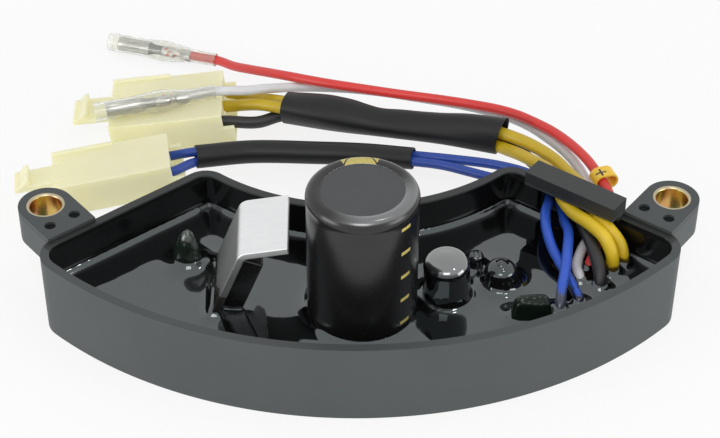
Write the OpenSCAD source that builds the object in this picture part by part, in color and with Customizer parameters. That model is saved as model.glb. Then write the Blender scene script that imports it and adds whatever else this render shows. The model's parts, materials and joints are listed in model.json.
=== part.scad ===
// Automatic voltage regulator of a portable generator set.
// A crescent tray with two bushed ears holds a circuit board under glossy black potting.
// A filter capacitor, a bent heat sink and a few small parts stand out of the potting,
// and seven loose leads pass under a bridge bar to two plugs and two bullet sockets.
// Millimetres, Z up, base on z = 0, origin under the middle of the tray and its ears.

/* [Tray] */
// Distance between the axes of the two mounting bushes
hole_span = 130; // [124:1:136]
// Radius of the long front wall
front_r = 90; // [86:0.5:94]
// Radius of the hollow back wall
back_r = 45.2; // [43:0.2:47]
// How far the centre of both arcs lies behind the line of the bushes
arc_y = 45.6; // [44:0.2:47]
// Turn of the slanted end walls
end_turn = 38; // [35:0.5:41]
// Rounding of the two end corners
end_fillet = 6; // [5:0.25:7.5]
// Rounding of the two back corners
back_fillet = 5; // [4.5:0.25:6]
// Height of the rim above the base
rim_h = 18; // [16:0.5:20]
// Thickness of the walls
wall = 1.8; // [1.4:0.1:2.2]
// Thickness of the floor
floor_t = 2; // [1.5:0.1:2.6]
// Extra thickness of the slanted walls below their lip
ledge_t = 0.8; // [0.4:0.1:1.2]
// Depth of the lip of the slanted walls below the rim
ledge_drop = 1; // [0.5:0.1:1.5]

/* [Ears] */
// Distance of each bush axis from the slanted wall
ear_reach = 9.3; // [8.5:0.1:10.5]
// Radius of the round ear end
ear_r = 5.7; // [5.2:0.1:6.2]
// Thickness of the ears
ear_t = 7.6; // [6:0.2:9]
// How far the ears stand above the rim
ear_rise = 1; // [0.5:0.1:1.6]
// How far the raised ear pads reach over the wall
ear_lap = 0.7; // [0.3:0.1:1.2]
// Diameter of the small blind holes in the ears
core_d = 2.4; // [1.6:0.1:2.8]
// Distance between the two blind holes of an ear
core_gap = 5.8; // [5:0.1:6.4]
// Distance of the blind holes from the bush axis
core_reach = 6.45; // [6.2:0.05:6.8]
// Depth of the blind holes
core_depth = 5; // [2:0.5:6]

/* [Bushes] */
// Outer diameter of the bushes
bush_od = 8; // [7.6:0.1:8.6]
// Bore of the bushes
bush_id = 6.5; // [6.1:0.1:6.8]
// Chamfer at both ends of the bore
bush_chamfer = 0.35; // [0.1:0.05:0.4]

/* [Bridge bar] */
// Length of the bar along the right slanted wall
bar_l = 21.4; // [20:0.2:23]
// Distance of the bar's middle along the slanted wall
bar_mid = 34.8; // [34:0.1:35.6]
// Depth of the bar from the wall's outer face inward
bar_depth = 5.1; // [4.5:0.1:6]
// Height of the bar's top above the rim
bar_rise = 4; // [3.6:0.1:5]
// Thickness of the bar
bar_t = 3.2; // [2:0.1:3.2]
// Width of the posts under the bar's ends
post_w = 1.9; // [1.4:0.1:2]
// Height of the lead window's sill above the base
sill_h = 11.5; // [10.6:0.1:11.6]

/* [Potting and board] */
// Level of the potting above the base
potting_h = 9.8; // [9:0.1:10.4]
// Thickness of the circuit board
board_t = 1.6; // [1:0.2:2]
// Height of the board's underside above the floor
board_lift = 2.2; // [1.8:0.1:3]
// Gap between the board's edge and the walls
board_gap = 2.4; // [2:0.1:3]

/* [Main capacitor] */
// Diameter over the sleeve
main_d = 22; // [18:0.5:23]
// Height above the board
main_h = 35; // [25:1:45]
// Distance of its axis in front of the tray's middle line
main_shift = 1.5; // [0.5:0.1:2.5]
// Thickness of the shrink sleeve
main_skin = 0.3; // [0.2:0.05:0.5]
// Rounding of the top edge
main_round = 1.8; // [1:0.1:2.2]
// Width of the lip that the sleeve rolls over the top
main_lip = 2.8; // [2.6:0.1:4]
// Depth of the disc's face below the top edge
main_disc_drop = 0.3; // [0.1:0.05:0.5]
// Thickness of the disc
main_disc_t = 0.4; // [0.3:0.05:0.6]
// Distance between its two pins
pin_gap = 10; // [7:0.5:12]
// Diameter of the pins
pin_d = 1.4; // [0.8:0.1:1.8]

/* [Heat sink] */
// Thickness of the aluminium strip
sink_t = 1.5; // [1:0.1:2]
// Width of the strip from front to back
sink_w = 17; // [13:0.5:18]
// Front edge of the strip in front of the line of the bushes
sink_front = 25.3; // [24:0.1:26]
// Place of the leg's outer face at the potting's level, left of the middle
sink_left = 30.5; // [29:0.1:32]
// Length of the leg from that place up to the bend
sink_leg = 16; // [14:0.5:18]
// Length of the flange beyond the bend
sink_flange = 8.2; // [6:0.2:9]
// Slope of the leg
sink_lean = 68.5; // [65:0.5:72]
// Slope of the flange
sink_rise = 8.7; // [4:0.1:12]
// Inner radius of the bend
sink_bend = 1; // [0.6:0.1:1.6]
// Width of the power transistor
power_w = 13; // [10:0.5:15]
// Length of the power transistor along the leg
power_l = 15.5; // [13:0.5:17]
// Thickness of the power transistor
power_t = 4.5; // [3.5:0.1:5]
// Distance of its upper edge below the bend
power_drop = 1; // [0.5:0.1:2]
// Distance between its legs
power_pitch = 5; // [3:0.1:5.4]
// Width and thickness of its legs
power_leg = 0.9; // [0.6:0.1:1.2]

/* [Small parts] */
// Diameter of the small capacitor
small_d = 9.6; // [8:0.2:11]
// Height of the small capacitor above the board
small_h = 14.5; // [12:0.1:16]
// Diameter of the timing capacitor
timing_d = 5.7; // [5:0.1:6.3]
// Height of the timing capacitor above the board
timing_h = 8.2; // [6.2:0.1:9]
// Diameter of the standing diode
stand_d = 2.7; // [2:0.1:3.2]
// Height of the standing diode above the board
stand_h = 6.7; // [5.8:0.1:8]
// Width of the right film capacitor
film_w = 8; // [6:0.2:9]
// Thickness of the right film capacitor
film_t = 4; // [3:0.1:4.4]
// Height of the right film capacitor above the board
film_h = 8.5; // [7:0.1:10]
// Thickness of the left film capacitor at its foot
drop_d = 5; // [4:0.1:5.4]
// Height of the left film capacitor above the board
drop_h = 12; // [9.5:0.1:13]
// Diameter of the rectifier diodes
diode_d = 2.7; // [2:0.1:2.8]
// Length of the rectifier diodes
diode_l = 5.2; // [4:0.1:5.6]
// Diameter of the resistors
resistor_d = 2.4; // [1.8:0.1:2.6]
// Distance between the rectifier diodes
diode_pitch = 4.2; // [4:0.1:4.6]
// Length of the resistors
resistor_l = 6.3; // [5:0.1:6.4]
// Distance between the resistors
resistor_pitch = 10; // [9.4:0.1:11]
// Diameter of the leads of the diodes and resistors
stub_d = 0.7; // [0.5:0.1:0.8]

/* [Leads] */
// Diameter of the yellow and black leads
power_lead_d = 2.8; // [2.4:0.05:2.8]
// Diameter of the blue leads
sense_lead_d = 2.15; // [1.9:0.05:2.15]
// Diameter of the red and white leads
field_lead_d = 2.2; // [1.9:0.05:2.2]
// Wall of the sleeves over the leads
sleeve_wall = 0.3; // [0.2:0.05:0.4]
// Play of the leads in their sleeves
sleeve_play = 0.12; // [0.1:0.01:0.2]
// Length of the oval marker across the red lead
marker_w = 5.4; // [5.2:0.1:7]
// Thickness of the oval marker
marker_t = 3.8; // [3.7:0.1:4.6]
// Length of the marker along the lead
marker_l = 3.4; // [3:0.2:5]
// Wall of the marker
marker_wall = 0.5; // [0.3:0.05:0.6]
// Slack of the marker on the lead
marker_slack = 0.25; // [0.2:0.05:0.6]

/* [Plugs] */
// Length of the plug bodies
plug_l = 26; // [24:0.5:28]
// Height of the plug bodies
plug_h = 8; // [7.6:0.1:9]
// Distance between the cells of a plug
plug_pitch = 5.8; // [5.4:0.1:6.4]
// Thickness of the plug's walls
plug_wall = 1; // [0.8:0.05:1.1]
// Depth of the plug's open hood
hood_l = 9; // [7:0.5:10]
// Depth to which a lead enters its cell
cell_grip = 5; // [4:0.5:6]
// Length of the latch arm beyond the hood
latch_l = 8.5; // [7:0.5:10]
// Width of the two-way plug's latch arm
latch_w = 6.3; // [5:0.1:7.5]
// Extra width of the latch arm for a further way
latch_grow = 2.1; // [0:0.1:3]
// Shift of the latch arm to the front
latch_shift = 0.8; // [0:0.1:1.2]
// Length of the relief slots beside the latch arm's root
slot_l = 2; // [1:0.1:4]
// Width of the relief slots
slot_w = 0.5; // [0.3:0.05:0.8]
// Thickness of the latch arm
latch_t = 1.2; // [0.8:0.1:1.4]
// Height of the latch arm's tooth
latch_tooth = 1.6; // [1:0.1:3]
// Length of the skirt behind the cells
skirt_l = 2.5; // [1:0.1:4]
// Height of the skirt
skirt_h = 4.5; // [3:0.1:6]
// Length of the key rib along the top edge
rib_l = 13.7; // [10:0.1:18]
// Height of the key rib
rib_h = 0.7; // [0.3:0.1:1.2]
// Play of a terminal in its cell
cell_play = 0.1; // [0.05:0.01:0.2]
// Thickness of the terminals' metal
terminal_t = 0.5; // [0.3:0.05:0.7]
// Length of the terminals' receptacles
terminal_l = 8; // [7:0.5:10]

/* [Bullet sockets] */
// Outer diameter of the socket barrel
barrel_d = 3.4; // [3:0.1:3.8]
// Wall of the socket barrel
barrel_wall = 0.35; // [0.25:0.05:0.5]
// Length of the socket barrel
barrel_l = 7.9; // [6:0.1:8.5]
// Length of the crimp between the lead and the barrel
crimp_l = 10.9; // [9:0.1:12]
// Wall of the clear covers
cover_wall = 0.4; // [0.3:0.05:0.5]
// Play of the covers on the lead and the barrel
cover_play = 0.05; // [0.03:0.01:0.1]
// Length of the cover over the lead
cover_grip = 6.4; // [4:0.1:7]
// Reach of the cover beyond the barrel
cover_reach = 2.6; // [1:0.1:3]
// How far the cover swells over the crimp
cover_swell = 0.4; // [0.2:0.05:0.5]

/* [Hidden] */

$fn = 48;
// Overlap of cuts with open air
eps = 0.5;
// Smallest rounding left where a wall is set far inside a corner
least_round = 0.4;
// Steps of the long arcs, the corner arcs and the small arcs of profiles
arc_steps = 36;
corner_steps = 10;
edge_steps = 6;
// Sides of the swept leads and sleeves
lead_sides = 8;
sleeve_sides = 12;

// Axes of the right slanted wall: along it to the front, and out of it
along = [cos(end_turn), -sin(end_turn)];
outward = [sin(end_turn), cos(end_turn)];
arc_c = [0, arc_y];
bush_at = [hole_span / 2, 0];
// Distance of the slanted walls' outer faces from the origin, along the wall's normal
end_off = bush_at * outward - ear_reach;
ear_top = rim_h + ear_rise;
bar_top = rim_h + bar_rise;
bar_under = bar_top - bar_t;
board_z = floor_t + board_lift;
board_top = board_z + board_t;
// Middle of the outline from front to back, which the origin lies under
front_y = arc_y - front_r;
back_y = back_corner(back_fillet)[1] + back_fillet;
mid_y = (front_y + back_y) / 2;

main_at = [0, arc_y - (front_r + back_r) / 2 - main_shift];
main_top = board_top + main_h;
main_disc_d = main_d - 2 * main_lip;
sink_foot = [-sink_left, potting_h];
small_at = behind_front(17.3, 22.8);
small_round = 1.8;
timing_at = behind_front(28.4, 22.3);
stand_at = behind_front(23.6, 28.9);
film_at = behind_front(33.8, 10.6);
drop_at = behind_front(-35.8, 26.4);
drop_tip = 1.2;
// Place of the diodes behind the front wall, and of the first one beside its ear
diode_inset = 8;
diode_first = 17;
diode_at = [for (i = [0 : 3]) behind_front(diode_first + diode_pitch * i - bush_at[0], diode_inset)];
// The resistors lie midway between the main capacitor and the back wall
resistor_y = (main_at[1] + main_d / 2 + arc_y - back_r - wall) / 2;
resistor_at = [for (i = [-1 : 1]) [resistor_pitch * i, resistor_y]];

two_way_at = [-66.3, 25.5, 0.1];
two_way_turn = [7.5, 7];
three_way_at = [-55.6, 50.5, 0.1];
three_way_turn = [6.5, 0.5];

// Middles of the two lead sleeves, from the tray towards the plugs
yellow_sleeve_way = [[31.5, 32, 12], [20, 35.5, 11], [8.5, 39, 10], [-4, 42.5, 9.5], [-16, 47, 9]];
blue_sleeve_way = [[12.5, 27.5, 9], [2, 30.5, 8], [-9, 32, 7.5], [-23.5, 32.5, 7.6], [-35.8, 29.8, 8.4]];

// Sizes inside the plugs, from the mouth of the hood
cell_w = plug_pitch - plug_wall;
cell_h = plug_h - 2 * plug_wall;
receptacle_x = hood_l + cell_play;
lead_end_x = plug_l - cell_grip;

// Distances of the leads from the middle of their sleeves, and the sleeves' bores
triple_rho = (power_lead_d + sleeve_play) / sqrt(3) / cos(15);
pair_rho = (sense_lead_d + sleeve_play) / 2;
yellow_bore = (2 * triple_rho + power_lead_d + sleeve_play) / cos(180 / sleeve_sides);
blue_bore = (2 * pair_rho + sense_lead_d + sleeve_play) / cos(180 / sleeve_sides);

// Feet of the leads on the board, and the height at which they start to bend
red_foot = behind_front(47, 15.7);
white_foot = behind_front(44.6, 14);
front_yellow_foot = behind_front(51.6, 11.6);
back_yellow_foot = behind_front(54.1, 11.8);
black_foot = behind_front(48.6, 10);
left_blue_foot = behind_front(39.4, 8.7);
right_blue_foot = behind_front(43.7, 8.7);
bend_z = potting_h + 1;

// Routes of the leads, from the board under the bridge bar to their ends
red_way = concat(risen(red_foot), [
    [48, -9.5, 11.4], [49.3, -6.5, 12.6], [50.7, -3.5, 13.6], [52.3, 0, 14.2], [53, 6, 15],
    [51.7, 11.5, 15.2], [49.6, 17, 14.9], [46.2, 25.5, 14], [42.5, 34, 13], [37.5, 41, 11.5],
    [32, 45.5, 10.5], [20.5, 50.5, 9], [9, 56, 7], [-3, 61, 5.5], [-13, 66.8, 4.5], [-24.5, 72.3, 3.4],
    [-33.3, 76, 2.9], [-39.4, 78.05, 2.85]]);
white_way = concat(risen(white_foot), [
    [44.3, -12.6, 11], [45.6, -8.2, 11.3], [47.9, -4, 12.2], [49, 0, 13], [49.5, 5, 12.5], [49.3, 9.5, 12.1],
    [47.9, 14, 12], [45.6, 19.5, 12.2], [42.4, 27.5, 11.9], [38.5, 35, 11.5], [34, 40.5, 10.5],
    [20.5, 47, 9.5], [9, 50.5, 9.5], [-3, 52.5, 10], [-10.5, 53, 11], [-19.5, 51.4, 12.3],
    [-26, 49.4, 13.3], [-31.9, 48.05, 13.3], [-38.2, 47.15, 12.65]]);
front_yellow_way = concat(risen(front_yellow_foot), [
    [51.2, -12.3, 14.5], [49.8, -10.2, 16.9], [47, -6.7, 17.8], [44.3, -2.3, 17.1], [42.6, 2, 17.1],
    [42, 7, 17], [41.5, 11, 16.5], [40.3, 15, 15.6], [38.3, 19.5, 14.6], [35.7, 24.5, 13], [33.5, 28.5, 11.7]],
    laid(yellow_sleeve_way, triple_rho, 220, -120), [[-22.5, 48.8, 9]], three_way_cell(1));
back_yellow_way = concat(risen(back_yellow_foot), [
    [53.3, -9.1, 14.3], [51, -6.8, 16.6], [48.8, -3.2, 17.2], [48, 1, 17.2], [48, 5.5, 16.8], [47.2, 10, 16],
    [45.3, 14.5, 15.2], [41.5, 23, 14.2], [36.5, 29.5, 13.6]],
    laid(yellow_sleeve_way, triple_rho, 100, -120), [[-22, 52.5, 7.8]], three_way_cell(2));
black_way = concat(risen(black_foot), [
    [48.4, -15.6, 13], [47.7, -11, 14.5], [46.9, -6, 14.7], [46.3, -1.5, 14.3], [46.3, 3.5, 13.3],
    [45, 9, 12.3], [42.5, 16.5, 11.2], [38, 25.5, 10], [35, 31.5, 10.2]],
    laid(yellow_sleeve_way, triple_rho, 340, -120), [[-22.5, 45.2, 7.4]], three_way_cell(0));
left_blue_way = concat(risen(left_blue_foot), [
    [40.2, -21.6, 13], [41.5, -15.8, 14.3], [42.5, -10, 14.6], [43.2, -5, 14.2], [42.9, 0, 13.2],
    [42.7, 4.5, 12.9], [42, 9, 12.3], [40.3, 12, 11.4], [37, 14.8, 11], [33, 16.2, 11.2],
    [28.5, 17.3, 11.5], [24.5, 19.8, 11], [18.5, 23.7, 10]],
    laid(blue_sleeve_way, pair_rho, 180, 45), two_way_cell(0));
right_blue_way = concat(risen(right_blue_foot), [
    [42.8, -19, 11.4], [41, -13, 12], [39.5, -8.5, 13], [38.7, -4, 14.3], [39, 1, 14.6],
    [40.2, 5.5, 14.2], [40.6, 9.5, 14], [39.6, 13, 13.6], [36, 17, 13], [30, 21, 12], [21.5, 25, 10.5]],
    laid(blue_sleeve_way, pair_rho, 0, 45), two_way_cell(1));

// Point of the red lead that the marker hangs on
marker_on = 7;

function arc(c, r, a0, a1, steps) =
    [for (i = [0 : steps]) c + r * [cos(a0 + (a1 - a0) * i / steps), sin(a0 + (a1 - a0) * i / steps)]];

// Centre of a corner circle of radius r that touches the slanted wall and an arc,
// at the distance reach from the arcs' centre
function corner(r, reach) =
    let (n = end_off - r - arc_c * outward)
    arc_c + n * outward + sqrt(reach * reach - n * n) * along;
function end_corner(r) = corner(r, front_r - r);
function back_corner(r) = corner(r, back_r + r);
function heading(v) = atan2(v[1], v[0]);
// A place in the plan at x, the given distance behind the front wall's outer face
function behind_front(x, d) = [x, arc_y - sqrt((front_r - d) * (front_r - d) - x * x)];

// Right half of the crescent, set in from its outer face, from the front round to the back
function half_outline(inset) =
    let (re = max(end_fillet, inset + least_round),
         rb = max(back_fillet, inset + least_round),
         e = end_corner(re),
         b = back_corner(rb))
    concat(
        arc(arc_c, front_r - inset, -90, heading(e - arc_c), arc_steps),
        arc(e, re - inset, heading(e - arc_c), 90 - end_turn, corner_steps),
        arc(b, rb - inset, 90 - end_turn, heading(arc_c - b), corner_steps),
        arc(arc_c, back_r + inset, heading(b - arc_c), -90, arc_steps));
function outline(inset) =
    let (h = half_outline(inset), n = len(h))
    concat(h, [for (i = [n - 2 : -1 : 1]) [-h[i][0], h[i][1]]]);

// First stretch of a lead, straight up out of the board and the potting
function risen(foot) = [[foot[0], foot[1], board_top], [foot[0], foot[1], bend_z]];

function unit(v) = v / norm(v);
function reversed(v) = [for (i = [len(v) - 1 : -1 : 0]) v[i]];
function tangents(p) =
    let (n = len(p) - 1)
    [for (i = [0 : n]) unit(
        i == 0 ? p[1] - p[0] : i == n ? p[n] - p[n - 1] : unit(p[i + 1] - p[i]) + unit(p[i] - p[i - 1]))];
// Normals carried along a route without twist
function carried(t, n, i = 0) =
    i == len(t) ? [] : let (m = unit(n - (n * t[i]) * t[i])) concat([m], carried(t, m, i + 1));
// Rings of points round a route
function rings(way, r, sides) =
    let (t = tangents(way), n = carried(t, [1, 0.3, 0.2]))
    [for (i = [0 : len(way) - 1]) for (k = [0 : sides - 1])
        way[i] + r * (cos(360 * k / sides) * n[i] + sin(360 * k / sides) * cross(t[i], n[i]))];
// Route of a lead that lies beside the middle of a sleeve, turning round it by the given twist
function laid(way, rho, start, twist) =
    let (t = tangents(way), n = len(way) - 1)
    [for (i = [0 : n]) let (a = start + twist * i / n)
        way[i] + rho * (cos(a) * unit([t[i][1], -t[i][0], 0]) + [0, 0, sin(a)])];

// A point of a plug's own frame, tilted up by turn[0] and turned by turn[1]
function turned(v, turn) =
    let (c = cos(turn[0]), s = sin(turn[0]), x = v[0] * c - v[2] * s)
    [x * cos(turn[1]) - v[1] * sin(turn[1]), x * sin(turn[1]) + v[1] * cos(turn[1]), v[0] * s + v[2] * c];
function cell_y(ways, i) = (i - (ways - 1) / 2) * plug_pitch;
// Last two points of a lead, at the mouth of its cell and at its end in there
function two_way_cell(i) = [for (x = [plug_l, lead_end_x])
    two_way_at + turned([x, cell_y(2, i), plug_h / 2], two_way_turn)];
function three_way_cell(i) = [for (x = [plug_l, lead_end_x])
    three_way_at + turned([x, cell_y(3, i), plug_h / 2], three_way_turn)];

// Moves the drawing from the line of the bushes to the middle of the outline
module seated() { translate([0, -mid_y, 0]) children(); }

// The right slanted wall's frame: x along the wall, y out of it
module at_right_end() { rotate([0, 0, -end_turn]) children(); }
module at_both_ends() {
    at_right_end() children();
    mirror([1, 0, 0]) at_right_end() children();
}

module slab(inset, z0, z1) { translate([0, 0, z0]) linear_extrude(z1 - z0) polygon(outline(inset)); }

// A straight hole or rod standing at a place in the plan
module rod(at, d, z0, z1) { translate([at[0], at[1], z0]) cylinder(h = z1 - z0, d = d); }

module lead(way, d) {
    n = len(way);
    s = lead_sides;
    polyhedron(
        points = rings(way, d / 2, s),
        faces = concat(
            [[for (k = [0 : s - 1]) k]],
            [[for (k = [s - 1 : -1 : 0]) (n - 1) * s + k]],
            [for (i = [0 : n - 2]) for (k = [0 : s - 1])
                each [[i * s + k, (i + 1) * s + k, (i + 1) * s + (k + 1) % s],
                      [i * s + k, (i + 1) * s + (k + 1) % s, i * s + (k + 1) % s]]]));
}

// An open sleeve: rings outside, rings inside and two ring-shaped ends
module sleeve(way, bore, skin) {
    n = len(way);
    s = sleeve_sides;
    m = n * s;
    polyhedron(
        points = concat(rings(way, bore / 2 + skin, s), rings(way, bore / 2, s)),
        faces = concat(
            [for (i = [0 : n - 2]) for (k = [0 : s - 1])
                each [[i * s + k, (i + 1) * s + k, (i + 1) * s + (k + 1) % s],
                      [i * s + k, (i + 1) * s + (k + 1) % s, i * s + (k + 1) % s],
                      [m + i * s + k, m + (i + 1) * s + (k + 1) % s, m + (i + 1) * s + k],
                      [m + i * s + k, m + i * s + (k + 1) % s, m + (i + 1) * s + (k + 1) % s]]],
            [for (k = [0 : s - 1])
                each [[k, (k + 1) % s, m + (k + 1) % s], [k, m + (k + 1) % s, m + k]]],
            [for (k = [0 : s - 1]) let (e = (n - 1) * s)
                each [[e + k, m + e + (k + 1) % s, e + (k + 1) % s], [e + k, m + e + k, m + e + (k + 1) % s]]]));
}

// Posts that carry the bar's ends on the wall, in the right end wall's frame
module bar_posts() {
    depth = wall + ledge_t;
    for (t = [bar_mid - bar_l / 2, bar_mid + bar_l / 2 - post_w])
        translate([t, end_off - depth, rim_h - ledge_drop])
            cube([post_w, depth, bar_under + eps - rim_h + ledge_drop]);
}

// Space inside the walls, up to the given height
module hollow(z0, z1) {
    difference() {
        slab(wall, z0, z1);
        at_both_ends()
            translate([0, end_off - wall - ledge_t, z0 - eps])
                cube([front_r, wall + ledge_t, rim_h - ledge_drop - z0 + eps]);
        at_right_end() bar_posts();
    }
}

module ear() {
    bush_t = bush_at * along;
    bush_n = bush_at * outward;
    translate([bush_t, 0, ear_top - ear_t]) linear_extrude(ear_t) {
        translate([0, bush_n]) circle(r = ear_r);
        translate([-ear_r, end_off - ear_lap]) square([2 * ear_r, bush_n - end_off + ear_lap]);
    }
}

module case() {
    color([0.16, 0.17, 0.18]) seated() difference() {
        union() {
            slab(0, 0, rim_h);
            at_both_ends() ear();
            at_right_end() translate([bar_mid - bar_l / 2, end_off - bar_depth, bar_under])
                cube([bar_l, bar_depth, bar_t]);
            at_right_end() bar_posts();
        }
        hollow(floor_t, rim_h + eps);
        at_right_end()
            translate([bar_mid - bar_l / 2 + post_w, end_off - bar_depth, sill_h])
                cube([bar_l - 2 * post_w, bar_depth + eps, bar_under - sill_h]);
        for (s = [-1, 1]) rod([s * bush_at[0], bush_at[1]], bush_od, ear_top - ear_t - eps, ear_top + eps);
        at_both_ends() for (s = [-1, 1])
            rod([bush_at * along + s * core_gap / 2, bush_at * outward - core_reach], core_d,
                ear_top - core_depth, ear_top + eps);
    }
}

module bush(side) {
    color([0.80, 0.66, 0.36]) seated()
        translate([side * bush_at[0], bush_at[1], ear_top - ear_t]) rotate_extrude()
            polygon([
                [bush_id / 2 + bush_chamfer, 0], [bush_od / 2, 0], [bush_od / 2, ear_t],
                [bush_id / 2 + bush_chamfer, ear_t], [bush_id / 2, ear_t - bush_chamfer],
                [bush_id / 2, bush_chamfer]]);
}
module left_bush() { bush(-1); }
module right_bush() { bush(1); }

module board_blank(z0, z1) { slab(wall + board_gap, z0, z1); }

module circuit_board() {
    color([0.12, 0.30, 0.16]) seated() difference() {
        board_blank(board_z, board_top);
        pins_shape();
        power_legs_shape();
    }
}

module pins_shape() {
    for (s = [-1, 1]) rod(main_at + [s * pin_gap / 2, 0], pin_d, floor_t + least_round, board_top);
}

// Sealed can with its bung, inside the shrink sleeve
module can_shape() {
    r = main_d / 2 - main_skin;
    shoulder = main_top - main_skin;
    face = main_top - main_disc_drop - main_disc_t;
    translate([main_at[0], main_at[1], 0]) rotate_extrude() polygon(concat(
        [[0, board_top], [r, board_top]],
        arc([r - main_round, shoulder - main_round], main_round, 0, 90, edge_steps),
        [[main_disc_d / 2, shoulder], [main_disc_d / 2, face], [0, face]]));
}
module main_capacitor_can() { color([0.75, 0.76, 0.78]) seated() can_shape(); }

module sleeve_shape() {
    r = main_d / 2;
    translate([main_at[0], main_at[1], 0]) rotate_extrude() polygon(concat(
        [[r - main_skin, board_top], [r, board_top]],
        arc([r - main_skin - main_round, main_top - main_skin - main_round], main_round + main_skin, 0, 90, edge_steps),
        [[main_disc_d / 2, main_top], [main_disc_d / 2, main_top - main_skin]],
        reversed(arc([r - main_skin - main_round, main_top - main_skin - main_round], main_round, 0, 90, edge_steps))));
}
module main_capacitor_sleeve() { color([0.08, 0.08, 0.09]) seated() sleeve_shape(); }

module main_capacitor_disc() {
    color([0.20, 0.20, 0.21]) seated()
        rod(main_at, main_disc_d, main_top - main_disc_drop - main_disc_t, main_top - main_disc_drop);
}
module main_capacitor_pins() { color("silver") seated() pins_shape(); }

// Section of the bent strip, seen from the front
function sink_section() =
    let (up = [cos(sink_lean), sin(sink_lean)],
         left = [-sin(sink_lean), cos(sink_lean)],
         out = [cos(sink_rise), sin(sink_rise)],
         above = [-sin(sink_rise), cos(sink_rise)],
         c = sink_foot + sink_leg * up - (sink_bend + sink_t) * left,
         root = (board_top - sink_foot[1]) / sin(sink_lean),
         root_in = (board_top - (sink_foot - sink_t * left)[1]) / sin(sink_lean))
    concat(
        [sink_foot - sink_t * left + root_in * up, sink_foot + root * up],
        arc(c, sink_bend + sink_t, 90 + sink_lean, 90 + sink_rise, edge_steps),
        [c + (sink_bend + sink_t) * above + sink_flange * out, c + sink_bend * above + sink_flange * out],
        arc(c, sink_bend, 90 + sink_rise, 90 + sink_lean, edge_steps));
module sink_shape() {
    translate([0, sink_w - sink_front, 0]) rotate([90, 0, 0]) linear_extrude(sink_w) polygon(sink_section());
}
module heat_sink() { color([0.78, 0.79, 0.80]) seated() sink_shape(); }

// The leg's frame: x up the leg, z out of its outer face, y to the back from the strip's middle
module on_leg() {
    translate([sink_foot[0], sink_w / 2 - sink_front, sink_foot[1]]) rotate([0, -sink_lean, 0]) children();
}
module power_shape() {
    on_leg() translate([sink_leg - power_drop - power_l, -power_w / 2, -sink_t - power_t])
        cube([power_l, power_w, power_t]);
}
// The legs start inside the body's lower edge and run straight down through the board
module power_legs_shape() {
    low = sink_leg - power_drop - power_l;
    mid = -sink_t - power_t / 2;
    x = sink_foot[0] + low * cos(sink_lean) - mid * sin(sink_lean);
    z = sink_foot[1] + low * sin(sink_lean) + mid * cos(sink_lean);
    difference() {
        for (i = [-1 : 1])
            translate([x - power_leg / 2, sink_w / 2 - sink_front + i * power_pitch - power_leg / 2, board_z - eps])
                cube([power_leg, power_leg, z - board_z + 2 * eps]);
        power_shape();
    }
}
module power_transistor() { color([0.07, 0.07, 0.07]) seated() power_shape(); }
module transistor_legs() { color("silver") seated() power_legs_shape(); }

// An upright can with a rounded top edge
module can(at, d, h, round) {
    translate([at[0], at[1], board_top]) rotate_extrude() polygon(concat(
        [[0, 0], [d / 2, 0]], arc([d / 2 - round, h - round], round, 0, 90, edge_steps), [[0, h]]));
}
module small_shape() { can(small_at, small_d, small_h, small_round); }
module timing_shape() { can(timing_at, timing_d, timing_h, timing_d / 3); }
module stand_shape() { can(stand_at, stand_d, stand_h, stand_d / 3); }
module small_capacitor() { color([0.06, 0.06, 0.07]) seated() small_shape(); }
module timing_capacitor() { color([0.06, 0.06, 0.07]) seated() timing_shape(); }
module standing_diode() { color([0.06, 0.06, 0.07]) seated() stand_shape(); }

// Dipped capacitors: a pillow and a drop, both flat where they stand on the board
module film_shape() {
    r = film_t / 2;
    translate([film_at[0], film_at[1], board_top]) intersection() {
        hull() for (x = [-1, 1]) for (z = [0, film_h - r])
            translate([x * (film_w / 2 - r), 0, z]) sphere(r = r, $fn = 24);
        translate([-film_w, -film_t, 0]) cube([2 * film_w, 2 * film_t, film_h]);
    }
}
module drop_shape() {
    translate([drop_at[0], drop_at[1], board_top]) intersection() {
        hull() {
            translate([0, 0, drop_d / 2]) sphere(d = drop_d, $fn = 24);
            translate([0, 0, drop_h - drop_tip]) sphere(r = drop_tip, $fn = 24);
            cylinder(h = drop_d / 2, d = drop_d * 0.8, $fn = 24);
        }
        translate([-drop_d, -drop_d, 0]) cube([2 * drop_d, 2 * drop_d, drop_h]);
    }
}
module left_film_capacitor() { color([0.10, 0.20, 0.12]) seated() drop_shape(); }
module right_film_capacitor() { color([0.10, 0.20, 0.12]) seated() film_shape(); }

// A lying part with two leads bent down to the board, along x
module lying(d, l) {
    translate([-l / 2, 0, board_top + d / 2]) rotate([0, 90, 0]) cylinder(h = l, d = d);
    reach = l / 2 + 2 * stub_d;
    translate([-reach, 0, board_top + d / 2]) rotate([0, 90, 0]) cylinder(h = 2 * reach, d = stub_d);
    for (s = [-1, 1]) rod([s * reach, 0], stub_d, board_top, board_top + d / 2);
    for (s = [-1, 1]) translate([s * reach, 0, board_top + d / 2]) sphere(d = stub_d);
}
module diodes_shape() { for (at = diode_at) translate(at) rotate([0, 0, 90]) lying(diode_d, diode_l); }
module resistors_shape() { for (at = resistor_at) translate(at) lying(resistor_d, resistor_l); }
module rectifier_diodes() { color([0.10, 0.10, 0.11]) seated() diodes_shape(); }
module resistors() { color([0.75, 0.62, 0.42]) seated() resistors_shape(); }

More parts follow.
